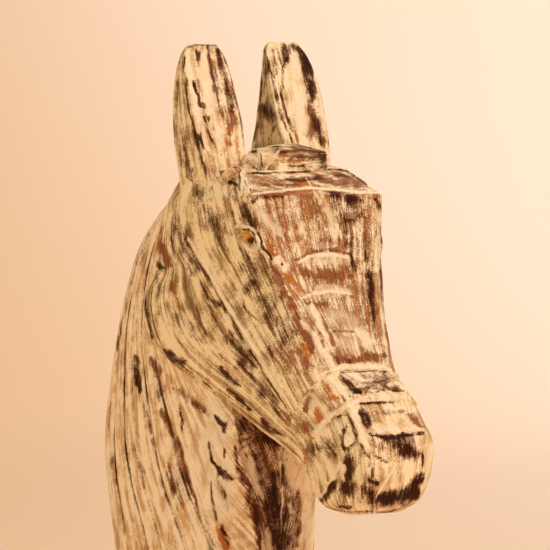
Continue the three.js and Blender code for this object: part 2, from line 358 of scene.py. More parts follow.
def head_half(s, spacing, side):
    """One side of the head: the face, its chamfer, the cheek plane, and the band of hair below its step."""
    length = plane_length(s, "face", "jaw")
    ridge = s["ridge"] * length
    step = CHEEK_STEP * np.clip((STEP_FADE_UP - s["face_up"]) / STEP_FADE, 0.15, 1)
    swell = 0
    if side == FAR:
        swell = FAR_SWELL * np.exp(-(((s["face_up"] - FAR_SWELL_UP) / FAR_SWELL_REACH) ** 2))
    corners = [
        (0, 0, 0),
        (s["face"], 0, 3),
        (s["edge"] + swell, s["edge_depth"], 5),
        (s["cheek"], ridge, 0),
        (s["cheek"] - step, ridge + CHEEK_STEP_RUN, 0),
        (s["jaw"], length - 1, 8),
        (0, length - 1, 0),
    ]
    points, stretch, share = walk(corners, spacing)
    normal = outward(points)
    arc = arc_length(points)
    run = line_run(s, "face")[:, None]
    from_ridge = arc - arc[:, [int(np.argmax(stretch == 3))]]
    lower = np.clip((RIDGE_FADE_UP - s["face_up"]) / RIDGE_FADE, 0, 1)[:, None]
    lip = RIDGE_LIP * np.exp(-((from_ridge / RIDGE_LIP_REACH) ** 2)) * lower
    trench = TRENCH_DEPTH * valley(from_ridge - TRENCH_PLACE, TRENCH_WIDTH) * lower
    hair = hair_depth(stretch, share, run, np.maximum(length - ridge, 1))
    crown = np.where(stretch == 2, np.sin(np.pi * share), 0)
    crown = crown - FACE_HOLLOW * np.where(stretch == 0, 1 - share**2, 0)
    facets = FACET_HEIGHT * wander(arc / 9, run / 38, 13)
    moved = lip - trench - hair + crown + facets
    moved[0] = moved[-1] = 0
    points = points + normal * moved[..., None]
    points[:, [0, -1], 0] = 0
    return half(points, arc.mean(0), run, np.maximum(trench * 1.2, hair))


def head_loft():
    """The head without its ears, from the poll to the noseband."""
    s = head_sections()
    outlines, sides = rings_of(head_half(s, COARSE, FAR), head_half(s, FINE, NEAR))
    return loft("head", place(outlines, s, "face", "jaw"), sides, HEAD)


def band_loft():
    """The noseband, a smooth collar that stands off the nose and the jaw."""
    places = np.linspace(0, len(BAND_ROWS) - 1, BAND_SECTIONS)
    s = table(BAND_KEYS, BAND_ROWS, places)
    length = plane_length(s, "top", "under")
    corners = [
        (0, 0, 0),
        (s["face"], 0, 4),
        (s["edge"], s["edge_depth"], 6),
        (s["side"], 0.5 * length, 12),
        (s["under"], length, 8),
        (0, length, 0),
    ]
    halves = []
    for spacing in (COARSE, FINE):
        points = walk(corners, spacing)[0]
        halves.append(half(points, arc_length(points).mean(0), places[:, None] * BAND_STEP, 0))
    outlines, sides = rings_of(*halves)
    return loft("noseband", place(outlines, s, "top", "under"), sides, BAND)


def muzzle_loft():
    """The boxed muzzle, with shallow dents of the knife."""
    s = table(MUZZLE_KEYS, MUZZLE_ROWS, even_places(MUZZLE_ROWS, (0, 1, 2, 3), MUZZLE_STEP))
    length = plane_length(s, "nose", "chin")
    corners = [
        (0, 0, 0),
        (s["nose"], 0, 7),
        (s["lip"], 0.3 * length, 12),
        (s["lip"], 0.75 * length, 12),
        (s["chin"], length, 9),
        (0, length, 0),
    ]
    run = line_run(s, "nose")[:, None]
    halves = []
    for spacing in (COARSE, MUZZLE_FINE):
        points = walk(corners, spacing)[0]
        arc = arc_length(points)
        dents = DENT_HEIGHT * wander(arc / 13, run / 13, 21)
        dents[[0, -1]] = 0
        points = points + outward(points) * dents[..., None]
        points[:, [0, -1], 0] = 0
        halves.append(half(points, arc.mean(0), run, 0))
    outlines, sides = rings_of(*halves)
    return loft("muzzle", place(outlines, s, "nose", "chin"), sides, MUZZLE)


def mane_curve(s, count):
    """One side of the neck from the mane's front edge to the crest, as that many points spaced evenly."""
    angle = np.linspace(0, np.pi / 2, MANE_KNOTS)
    x = s["width"][:, None] * np.cos(angle) ** SQUARENESS
    y = s["bevel"][:, None] + (s["length"] - s["bevel"])[:, None] * np.sin(angle) ** SQUARENESS
    front = np.stack([s["throat"] + 3, np.full(len(x), -THROAT_RECESS)], 1)[:, None]
    knots = np.concatenate([front, np.stack([x, y], 2)], 1)
    places = np.linspace(0, MANE_KNOTS, 500)
    i = np.minimum(places.astype(int), MANE_KNOTS - 1)
    t = (places - i)[None, :, None]
    curve = spline(*(knots[:, np.clip(i + k, 0, MANE_KNOTS)] for k in (-1, 0, 1, 2)), t)
    even = np.linspace(0, 1, count)
    return np.stack([np.stack([np.interp(even * far[-1], far, line[:, k]) for k in (0, 1)], 1)
                     for far, line in zip(arc_length(curve), curve)])


def neck_sections():
    s = table(NECK_KEYS, NECK_ROWS, even_places(NECK_ROWS, (0, 1, 2, 3), NECK_STEP))
    s["length"] = plane_length(s, "throat", "crest")
    return s


def neck_outline(s, spacing):
    """Half outlines of the neck, with each point's share of the mane's curve, below 0 on the throat."""
    count = max(8, round(float(s["length"].mean()) * 1.27 / spacing))
    mane = mane_curve(s, count)
    inner = max(3, round(THROAT_WIDTH / spacing))
    throat = np.linspace(0, 1, inner)[None, :, None] * np.stack([s["throat"], 0 * s["throat"]], 1)[:, None]
    points = np.concatenate([throat, mane], 1)
    share = np.concatenate([np.linspace(-0.3, -0.02, inner), np.linspace(0, 1, count)])
    return points, share


# Grooves between the locks of mane: place on the flow, half width and depth. The flow runs from the crest,
# at 1, forwards and down, and these places are those of the lines that show on the near side.
LOCKS = [
    (-0.22, 3.0, 1.1), (-0.08, 2.4, 0.9), (0.06, 2.6, 0.9), (0.19, 3.0, 1.1), (0.31, 2.4, 0.9),
    (0.41, 4.4, 2.0), (0.462, 2.2, 0.8), (0.52, 3.2, 1.8), (0.575, 2.2, 0.8), (0.625, 2.4, 1.1),
    (0.692, 2.6, 1.8), (0.735, 2.2, 1.0), (0.79, 2.8, 1.6), (0.84, 2.4, 1.2), (0.89, 2.8, 1.6),
    (0.95, 2.4, 1.2),
]
FLOW_UP = [0, 75, 110, 190, 240, 400]  # heights at which the fan of the mane has these spreads
FLOW_SPREAD = [1.6, 1.4, 1.25, 1.0, 0.9, 0.75]
MANE_WAY = 250.0  # from the mane's front edge round to the crest
LOCK_WANDER = 0.007  # how far a groove strays from its place on the flow
FLOW_TOP = 430  # the height from which the flow is measured down the neck


def neck_half(s, spacing):
    """One side of the neck, with the grooves between its locks of mane."""
    points, share = neck_outline(s, spacing)
    rise = (s["crest_up"] - s["throat_up"])[:, None]
    height = s["throat_up"][:, None] + rise * points[..., 1] / s["length"][:, None]
    spread = np.interp(height, FLOW_UP, FLOW_SPREAD)
    on_mane = share >= 0
    flow = np.where(on_mane, 1 - (1 - share) / spread, 1 - 1 / spread + share)
    cut = np.zeros(points.shape[:2])
    for k, (spot, width, depth) in enumerate(LOCKS):
        line = spot + LOCK_WANDER * wander(height / 55, k + 0.5, 31)
        strength = np.clip(0.85 + 0.35 * wander(height / 60, k + 0.5, 32), 0.4, 1.2)
        distance = np.where(on_mane, np.abs(flow - line), NO_LINE) * MANE_WAY * spread
        cut = np.maximum(cut, depth * strength * valley(distance, width))
    way = flow * MANE_WAY
    swell = 0.5 * wander(way / 11, height / 80, 33) + 0.3 * wander(way / 5, height / 60, 34)
    fade = np.clip((share - 0.015) / 0.05, 0, 1) * np.clip((1 - share) / 0.02, 0, 1)
    points = points + outward(points) * ((swell - cut) * fade)[..., None]
    points[:, [0, -1], 0] = 0
    return half(points, way, FLOW_TOP - height, cut * fade)


def neck_loft():
    s = neck_sections()
    outlines, sides = rings_of(neck_half(s, COARSE * 1.1), neck_half(s, FINE * 1.1))
    return loft("neck", place(outlines, s, "throat", "crest"), sides, NECK)


def ear_loft(side):
    """An ear, hollowed a little in front, with a chipped surface."""
    s = table(EAR_KEYS, EAR_ROWS, even_places(EAR_ROWS, (0, 1), SECTION_STEP))
    front, depth = -s["front"], s["depth"]
    middle = (s["inner"] + s["outer"]) / 2
    corners = [
        (s["inner"], front, 2.5),
        (middle, front + np.minimum(EAR_HOLLOW, 0.3 * depth), 8),
        (s["outer"], front, 2.5),
        (s["outer"] - 2, front + depth, 0.35 * depth),
        (s["inner_back"], front + depth, np.minimum(6, 0.3 * depth)),
    ]
    points = walk(corners, EAR_FINE if side == NEAR else EAR_COARSE, closed=True)[0]
    closed = np.concatenate([points, points[:, :1]], 1)
    arc = arc_length(closed)
    run = (s["up"][-1] - s["up"])[:, None]
    chips = 0.35 * wander(arc[:, :-1] / 8, run / 22, 41 + side)
    chips[[0, -1]] = 0
    points = points - outward(closed)[:, :-1] * chips[..., None]
    points = points * (side, 1)
    flow = {
        "u": np.broadcast_to(arc.mean(0), arc.shape) + EAR_FLOW * side,
        "v": np.broadcast_to(run, arc.shape),
        "carved": np.zeros(arc.shape),
    }
    sides = {key: (values[:, :-1], values[:, 1:]) for key, values in flow.items()}
    up = np.broadcast_to(s["up"][:, None], points.shape[:2])
    return loft(f"ear_{side}", np.dstack([points, up]), sides, EARS)


def lump(name, corners, bevel, region=TUFT):
    """A hand-cut lump: the smallest solid round corners (across, forward, up), with its edges broken."""
    made = bmesh.new()
    for across, forward, up in corners:
        made.verts.new(Vector((across, -forward, up)) * MM)
    bmesh.ops.convex_hull(made, input=made.verts)
    bmesh.ops.dissolve_limit(made, angle_limit=math.radians(3), verts=made.verts, edges=made.edges)
    bmesh.ops.bevel(made, geom=made.edges[:], offset=bevel * MM, segments=3, profile=0.6, affect="EDGES")
    bmesh.ops.triangulate(made, faces=made.faces)
    bmesh.ops.recalc_face_normals(made, faces=made.faces)
    mesh = bpy.data.meshes.new(name)
    made.to_mesh(mesh)
    made.free()
    mesh.uv_layers.new(name="flow")
    mesh.uv_layers.new(name="cut")
    set_region(mesh, region)
    return new_object(name, mesh)


def unite(objects, name):
    """Joins closed meshes into one, and keeps their attributes."""
    whole = objects[0]
    bpy.context.view_layer.objects.active = whole
    for other in objects[1:]:
        join = whole.modifiers.new("join", "BOOLEAN")
        join.operation, join.solver, join.object = "UNION", "MANIFOLD", other
        bpy.ops.object.modifier_apply(modifier=join.name)
        bpy.data.objects.remove(other)
    whole.name = name
    return whole


# Corners of the hand-cut lumps at the poll. The block is the forelock, cut off square at its front and in
# facets toward the near ear. The roll is the knot of wood between that ear and the shelf. The far rise lifts
# the poll's far edge beside the block.
FORELOCK = [
    (-28, 121, 388), (41, 121, 388), (41, 120.5, 412.5), (-11, 120.5, 413), (-33, 113, 388), (-27, 112, 411),
    (-40, 100, 390), (-36, 99, 405), (-24, 94, 414.5), (-36, 80, 388), (5, 62, 415), (15, 86, 419.5),
    (36, 88, 419), (36, 60, 418), (36, 60, 388), (-20, 62, 388),
]
ROLL = [
    (-69, 110, 385), (-69.5, 115, 393), (-63, 116, 401), (-53, 116, 401), (-46, 120, 396), (-44, 125, 389),
    (-52, 128, 382), (-62, 124, 380), (-69, 119, 381), (-60, 92, 388), (-45, 92, 388), (-52, 94, 396),
]
FAR_RISE = [
    (38, 98, 402), (62, 104, 400), (69, 112, 396.5), (72, 124, 390.5), (73, 138, 384), (38, 121, 391),
    (60, 139, 383.5), (38, 98, 380), (62, 104, 378), (68, 112, 378), (70.5, 124, 374), (71.5, 138, 372),
    (60, 139, 372), (38, 121, 380),
]


EAR_FOOT, EAR_LENGTH = 0.40, 0.11  # in metres
BELLY_FOOT, BELLY_LENGTH = 0.408, 0.095


def set_ear(obj, lift, shift, belly=0.0):
    """Raises an ear's tip, moves the ear sideways and fills out its left edge, all in millimetres."""
    left = min(vertex.co.x for vertex in obj.data.vertices)
    right = max(vertex.co.x for vertex in obj.data.vertices)
    for vertex in obj.data.vertices:
        place = vertex.co
        swell = math.sin(math.pi * min(1.0, max(0.0, (place.z - BELLY_FOOT) / BELLY_LENGTH)))
        place.x += (shift + belly * swell * (place.x - left) / (right - left)) * MM
        place.z += lift * MM * max(0.0, (place.z - EAR_FOOT) / EAR_LENGTH)
    return obj


class Nodes:
    """A material's nodes, made one call at a time. A value is a number, a colour or another node's output."""

    def __init__(self, name):
        self.material = bpy.data.materials.new(name)
        self.material.use_nodes = True
        self.tree = self.material.node_tree
        self.shader = self.tree.nodes["Principled BSDF"]

    def add(self, kind, output=0, inputs=(), **settings):
        node = self.tree.nodes.new(kind)
        for key, value in settings.items():
            setattr(node, key, value)
        for key, value in dict(inputs).items():
            self.wire(node.inputs[key], value)
        return node.outputs[output]

    def wire(self, socket, value):
        if isinstance(value, bpy.types.NodeSocket):
            self.tree.links.new(value, socket)
        else:
            socket.default_value = value

    def math(self, operation, *values):
        return self.add("ShaderNodeMath", 0, enumerate(values), operation=operation)

    def sum(self, *values):
        total = values[0]
        for value in values[1:]:
            total = self.math("ADD", total, value)
        return total

    def times(self, a, b):
        return self.math("MULTIPLY", a, b)

    def around(self, noise, amount):
        """A noise as an offset about zero."""
        return self.math("MULTIPLY_ADD", noise, amount, -0.5 * amount)

    def rest(self, value):
        """What is left of 1."""
        return self.math("SUBTRACT", 1.0, value)

    def step(self, value, low, high, to_low=0.0, to_high=1.0):
        """A smooth change from one number to another while the value runs from low to high."""
        inputs = {"Value": value, "From Min": low, "From Max": high, "To Min": to_low, "To Max": to_high}
        return self.add("ShaderNodeMapRange", 0, inputs, interpolation_type="SMOOTHSTEP")

    def mix(self, factor, a, b):
        node = self.tree.nodes.new("ShaderNodeMix")
        node.data_type = "RGBA"
        for socket, value in ((0, factor), (6, a), (7, b)):
            self.wire(node.inputs[socket], value)
        return node.outputs[2]

    def blend(self, value, low, high, a, b):
        return self.mix(self.step(value, low, high), a, b)

    def scaled(self, vector, scale):
        return self.add("ShaderNodeVectorMath", 0, {0: vector, 1: scale}, operation="MULTIPLY")

    def noise(self, vector, scale, detail=2.0, roughness=0.5, distortion=0.0):
        inputs = {"Vector": vector, "Scale": scale, "Detail": detail, "Roughness": roughness,
                  "Distortion": distortion}
        return self.add("ShaderNodeTexNoise", 0, inputs)

    def channels(self, attribute):
        """The three channels of a colour attribute."""
        node = self.tree.nodes.new("ShaderNodeAttribute")
        node.attribute_name = attribute
        split = self.tree.nodes.new("ShaderNodeSeparateColor")
        self.tree.links.new(node.outputs["Color"], split.inputs[0])
        return [split.outputs[k] for k in range(3)]


def linear(red, green, blue):
    """A colour given as 8-bit sRGB, in the shader's linear values."""
    curve = lambda c: ((c / 255 + 0.055) / 1.055) ** 2.4 if c > 10 else c / 3294.6
    return curve(red), curve(green), curve(blue), 1.0


# The camera stands as the photograph's did: off the horse's right side, nearly level with it and 3.4 m away.
VIEW_TURN = math.radians(-38)
VIEW_RISE = math.radians(2.2)
ACROSS = np.array([math.cos(VIEW_TURN), math.sin(VIEW_TURN), 0])
LEVEL = math.cos(VIEW_RISE)
TOWARD_CAMERA = np.array([math.sin(VIEW_TURN) * LEVEL, -math.cos(VIEW_TURN) * LEVEL, math.sin(VIEW_RISE)])
UPWARD = np.cross(TOWARD_CAMERA, ACROSS)
CAMERA_PLACE = ACROSS * 0.06066 + UPWARD * 0.3019 + TOWARD_CAMERA * 3.380  # in metres
LENS = 246.85
SENSOR = 36.0
PICTURE = 550.0
CARVING_MIDDLE = Vector((0, -0.08, 0.27))


def picture_of(points):
    """Where points in metres fall in the 550 x 550 picture."""
    away = points - CAMERA_PLACE
    depth = -(away @ TOWARD_CAMERA)
    scale = LENS / SENSOR * PICTURE / depth
    return PICTURE / 2 + (away @ ACROSS) * scale, PICTURE / 2 - (away @ UPWARD) * scale


def add_camera():
    camera = bpy.data.cameras.new("camera")
    camera.lens, camera.sensor_width = LENS, SENSOR
    camera.clip_end = 30
    obj = new_object("camera", camera)
    obj.location = CAMERA_PLACE
    obj.rotation_euler = Vector(TOWARD_CAMERA).to_track_quat("Z", "Y").to_euler()
    bpy.context.scene.camera = obj


def add_light(name, direction, distance, size, power, colour, aim=CARVING_MIDDLE):
    """A soft square light, off in a direction (across, upward, toward the camera) from its aim."""
    across, upward, near = direction
    way = Vector(across * ACROSS + upward * UPWARD + near * TOWARD_CAMERA).normalized()
    light = bpy.data.lights.new(name, "AREA")
    light.shape, light.size = "SQUARE", size
    light.energy, light.color = power, colour
    obj = new_object(name, light)
    obj.location = aim + way * distance
    obj.rotation_euler = way.to_track_quat("Z", "Y").to_euler()


def backdrop():
    """A pale floor that sweeps up into the wall behind, in metres from the carving."""
    behind, bend, width, front, top = 5.0, 2.4, 16.0, 12.0, 8.0
    profile = [(front, 0.0), (-0.2, 0.0)]
    profile += [(-(behind - bend) - bend * math.sin(a), bend - bend * math.cos(a))
                for a in np.linspace(0, math.pi / 2, 25)]
    profile.append((-behind, top))
    flat = Vector((TOWARD_CAMERA[0], TOWARD_CAMERA[1], 0)).normalized()
    side = Vector(ACROSS)
    verts = [flat * d + side * w + Vector((0, 0, z - 0.0005)) for d, z in profile for w in (-width, width)]
    faces = [(2 * k, 2 * k + 1, 2 * k + 3, 2 * k + 2) for k in range(len(profile) - 1)]
    mesh = bpy.data.meshes.new("backdrop")
    mesh.from_pydata(verts, [], faces)
    for face in mesh.polygons:
        face.use_smooth = True
    obj = new_object("backdrop", mesh)
    n = Nodes("paper")
    place = n.add("ShaderNodeTexCoord", "Object")
    tone = n.noise(place, 1.4, 2)
    parts = n.add("ShaderNodeSeparateXYZ", 0, {0: place}).node.outputs
    # Painted light and shade: the paper's own colour grows lighter toward the right and the top, where the
    # wall light falls, and darker toward the left.
    slope = (float(ACROSS[0]), float(ACROSS[1]), 0.85)  # the paper is lighter toward the right and the top
    over = n.sum(*(n.times(part, share) for part, share in zip(parts, slope)), n.around(tone, 0.1))
    colour = n.blend(over, -0.55, 0.75, linear(244, 211, 174), linear(255, 235, 219))
    n.wire(n.shader.inputs["Base Color"], colour)
    n.shader.inputs["Roughness"].default_value = 0.9
    n.shader.inputs["Specular IOR Level"].default_value = 0.1
    mesh.materials.append(n.material)


# Each light's name, direction, distance, size, power in watts and colour.
KEY = ("key", (0.9, 1.05, 0.75), 2.5, 1.3, 36, (1.0, 0.87, 0.74))
FILL = ("fill", (-0.9, 0.35, 0.6), 2.6, 2.0, 21, (1.0, 0.88, 0.73))
WALL_LIGHT = ("wall light", (0.35, 0.9, 0.45), 2.6, 3.0, 49, (1.0, 0.93, 0.86))


def light_scene():
    """Warm light from the upper right, a fill from the left, and one on the wall behind."""
    scene = bpy.context.scene
    scene.view_settings.view_transform = "Standard"
    scene.view_settings.look = "None"
    world = bpy.data.worlds.new("room")
    world.use_nodes = True
    air = world.node_tree.nodes["Background"]
    air.inputs["Color"].default_value = (1.0, 0.88, 0.72, 1)
    air.inputs["Strength"].default_value = 0.42
    scene.world = world
    wall = Vector(0.5 * ACROSS - 4.0 * TOWARD_CAMERA) + Vector((0, 0, 0.3))
    add_light(*KEY)
    add_light(*FILL)
    add_light(*WALL_LIGHT, wall)


# The marks, as (kind, half width, strength, places along it), read in the picture's 550 x 550 frame. Most are
# brush marks and stains, but the light line and the shadow along the cheek's ridge, the shadow below the
# eyelid's tail, the throat's dark ground and shade, the shadow under the jaw and the lit strip at the
# throat's far edge are painted highlights, painted shadows and painted shade. A mark lies on the side that
# the photograph shows and is mirrored onto the side that it doesn't.
DARK, RUST, WHITE, ORANGE = "dark", "rust", "white", "orange"
EAR_MARKS = {
    "near, long streak": (RUST, 2.9, 1.0, [(208.5, 54), (211, 67), (214, 79), (215.5, 91), (217, 102)]),
    "near, long streak's core": (DARK, 1.3, 0.8, [(209, 54), (212, 70), (214.5, 84), (216.5, 104)]),
    "near, long streak's end": (RUST, 1.6, 0.85, [(217, 102), (221.5, 112), (226.5, 122), (230, 132)]),
    "near, right streak": (DARK, 3.0, 1.0, [(217.6, 51), (221, 66), (225, 78), (227, 89), (231, 99),
                                            (233, 112)]),
    "near, right streak's rust": (RUST, 4.0, 0.8, [(219, 56), (224, 76), (229, 96), (233, 122)]),
    "near, right streak's end": (RUST, 3.4, 0.95, [(232, 106), (233, 120), (231.5, 131)]),
    "near, dry strokes": (DARK, 6.0, 0.46, [(220, 80), (224, 100), (228, 122)]),
    "near, orange spot": (ORANGE, 3.6, 1.0, [(229, 129), (230, 134)]),
    "near, lower orange spot": (ORANGE, 2.4, 1.0, [(228.2, 142), (228.6, 144)]),
    "near, top patch": (DARK, 2.3, 1.0, [(195.5, 50.5), (199, 55), (199, 62)]),
    "near, top right patch": (DARK, 2.0, 0.9, [(208.5, 48), (212, 52)]),
    "near, slash": (DARK, 2.6, 1.0, [(193.8, 80), (195.4, 90), (198.4, 100), (201, 107)]),
    "near, slash's twin": (RUST, 2.6, 0.8, [(198, 81), (201.5, 88), (204.5, 97)]),
    "near, low mark": (DARK, 2.0, 1.0, [(201, 116), (201, 127), (202.3, 138), (204.2, 149)]),
    "near, dot": (DARK, 1.8, 0.9, [(202.8, 104), (205, 108)]),
    "near, low dot": (DARK, 1.4, 1.0, [(204.8, 114.5), (205, 123)]),
    "near, right low dot": (DARK, 1.5, 1.0, [(209, 116), (210, 121)]),
    "near, low dash": (DARK, 1.0, 0.8, [(207.4, 129), (212.5, 141), (217.6, 151)]),
    "near, right low dash": (DARK, 0.9, 0.7, [(213, 127), (217, 137), (221, 146)]),
    "near, front edge": (DARK, 1.3, 0.95, [(185, 57), (184, 70), (187, 84), (187, 95), (188.5, 109),
                                           (193, 124)]),
    "near, front edge below": (DARK, 1.5, 1.0, [(192, 122), (197, 140), (201, 155), (204.8, 168),
                                                (206, 175)]),
    "near, tip": (DARK, 1.2, 0.9, [(188, 46.6), (197, 44.6), (216, 45), (221, 48.5)]),
    "near, right edge": (DARK, 0.9, 0.75, [(221, 48), (229, 68), (235, 92), (241, 122), (244, 148)]),
    "near, white centre": (WHITE, 4.5, 0.8, [(203, 54), (206, 90), (213, 118), (222, 146)]),
    "near, white edge": (WHITE, 3.5, 0.9, [(189, 62), (193, 90), (199, 120), (208, 150)]),
    "near side, top soft": (DARK, 2.0, 0.55, [(178, 78), (176, 96), (175.5, 106)]),
    "near side, soft patch": (DARK, 3.0, 0.7, [(182, 138), (185, 148), (187, 156)]),
    "near side, low patch": (DARK, 3.2, 0.65, [(186, 158), (190, 170)]),
    "near side, rear edge": (DARK, 1.8, 0.7, [(173, 112), (173, 140), (175, 170)]),
    "near side, dark streak": (DARK, 1.8, 0.8, [(195, 136), (199, 152), (203, 168)]),
    "near side, second streak": (DARK, 1.2, 0.6, [(180, 120), (186, 135), (192, 150)]),
    "far inner, patch": (DARK, 6.6, 0.74, [(260, 109), (267, 108), (271, 114)]),
    "far inner, upper grey": (DARK, 4.5, 0.7, [(265, 58), (264, 76), (263, 94)]),
    "far inner, rear edge": (DARK, 2.3, 0.95, [(262.2, 50), (260, 80), (256, 110), (253, 140)]),
    "far inner, crease": (DARK, 1.0, 0.7, [(280, 121), (272, 132), (269, 140)]),
    "far, front edge": (DARK, 1.0, 0.9, [(268.6, 60), (273, 78), (276.5, 94), (280, 112), (286, 128),
                                         (292, 141)]),
    "far, edge line": (DARK, 1.6, 0.9, [(265, 50), (269, 66), (273.5, 85), (277, 102)]),
    "far, thin line": (DARK, 1.8, 0.9, [(277.6, 48), (283, 66), (281.5, 82), (281.4, 96), (285, 112),
                                        (292, 131)]),
    "far, inner line": (DARK, 1.8, 0.85, [(272.4, 49), (273.7, 66), (276.5, 80)]),
    "far, low rust line": (ORANGE, 1.5, 0.7, [(288, 118), (294, 132), (299, 143)]),
    "far, top patch": (DARK, 3.0, 1.0, [(285.5, 45.5), (286.5, 53), (286.3, 60)]),
    "far, right band": (DARK, 5.2, 1.1, [(290, 46.5), (300, 50), (306.5, 61), (310, 74), (311.6, 88),
                                         (311, 101)]),
    "far, right band's rust": (ORANGE, 2.2, 0.85, [(295, 46), (300, 49)]),
    "far, lower dark": (DARK, 3.6, 0.85, [(310, 100), (313, 116), (318, 130), (322, 144)]),
    "far, brown strokes": (RUST, 3.0, 0.6, [(297, 100), (300, 118), (304, 136)]),
    "far, splotch": (RUST, 3.4, 0.95, [(309, 103), (312, 113), (315, 123), (311, 131), (309, 141)]),
    "far, splotch's core": (DARK, 2.0, 0.7, [(310, 104), (312, 114)]),
    "far, right splotch": (RUST, 2.8, 0.95, [(320, 132), (323, 146)]),
    "far, dry strokes": (DARK, 4.0, 0.36, [(292, 90), (295, 112), (299, 135)]),
    "far, white centre": (WHITE, 6.5, 0.9, [(292, 58), (297, 78), (298, 98), (303, 130)]),
    "far, right rim": (WHITE, 1.8, 0.8, [(312, 64), (318, 88), (323, 112), (328, 140)]),
    "far, right outline": (DARK, 0.9, 0.7, [(314, 68), (320, 92), (326, 122), (330, 150)]),
}
POLL_MARKS = {
    "block, top line": (DARK, 1.1, 0.85, [(280, 152.6), (303, 150.4), (328, 153)]),
    "block, top lens": (DARK, 0.9, 0.8, [(272, 146.5), (298, 147), (322, 149.5)]),
    "block, dark streak": (DARK, 2.0, 0.8, [(293, 156.5), (313, 157.5), (328, 155)]),
    "block, brown": (RUST, 6.0, 0.6, [(282, 160), (326, 159)]),
    "block, orange": (ORANGE, 2.6, 0.5, [(274, 164), (300, 165), (326, 163)]),
    "block, low line": (DARK, 1.0, 0.8, [(270, 167), (300, 166.5), (322, 165)]),
    "block, notch": (DARK, 1.6, 1.0, [(321, 166.5), (327, 166)]),
    "block, chamfer": (WHITE, 1.1, 0.7, [(279, 150.5), (272, 160), (264.5, 170)]),
    "facet, crease": (DARK, 0.9, 0.8, [(261, 153), (262, 167)]),
    "facet, knot": (DARK, 1.7, 1.0, [(253, 151.2), (256, 151.2)]),
    "facet, under line": (DARK, 1.0, 0.8, [(246, 161), (252, 166), (259, 170)]),
    "facet, white": (WHITE, 5.0, 0.55, [(250, 158), (272, 158)]),
    "roll, hole": (DARK, 3.0, 1.0, [(223, 173), (229, 179)]),
    "roll, outline": (DARK, 1.3, 0.95, [(219, 167), (227, 164), (237, 168), (239.5, 173)]),
    "roll, crease": (DARK, 2.3, 1.0, [(219, 168), (226, 180), (237, 186)]),
    "roll, right crease": (DARK, 1.8, 1.0, [(239.5, 174), (239.5, 190)]),
    "roll, far crease": (DARK, 1.6, 1.0, [(244, 180), (251, 191)]),
    "roll, white": (WHITE, 2.5, 0.8, [(228, 169), (234, 173)]),
}
SHELF_MARKS = {
    "back groove, light": (WHITE, 1.1, 0.95, [(259, 171.4), (297, 170), (329, 167.8), (347, 167.8)]),
    "back groove, dark": (DARK, 1.0, 0.9, [(247, 173.5), (285, 172.4), (330, 169.8), (352, 170)]),
    "long streak": (DARK, 1.8, 0.75, [(264, 178), (303, 180.5), (341, 175.5), (362, 177)]),
    "rust streak": (RUST, 2.6, 0.85, [(284, 180), (318, 179), (335, 181)]),
    "brown field": (RUST, 6.0, 0.42, [(262, 182), (300, 183), (350, 181)]),
    "far rise, dark": (DARK, 2.6, 0.7, [(334, 165), (346, 170), (360, 178), (372, 186)]),
    "orange middle": (ORANGE, 2.6, 0.8, [(294, 185), (310, 184), (320, 187)]),
    "low streak": (DARK, 1.2, 0.6, [(256, 187), (278, 185), (300, 184)]),
    "front edge, light": (WHITE, 1.2, 0.95, [(252, 194), (278, 191), (306, 188), (330, 189), (355, 191.5),
                                             (380, 193)]),
    "left end, cream": (WHITE, 3.0, 0.85, [(244, 180), (249, 188)]),
}
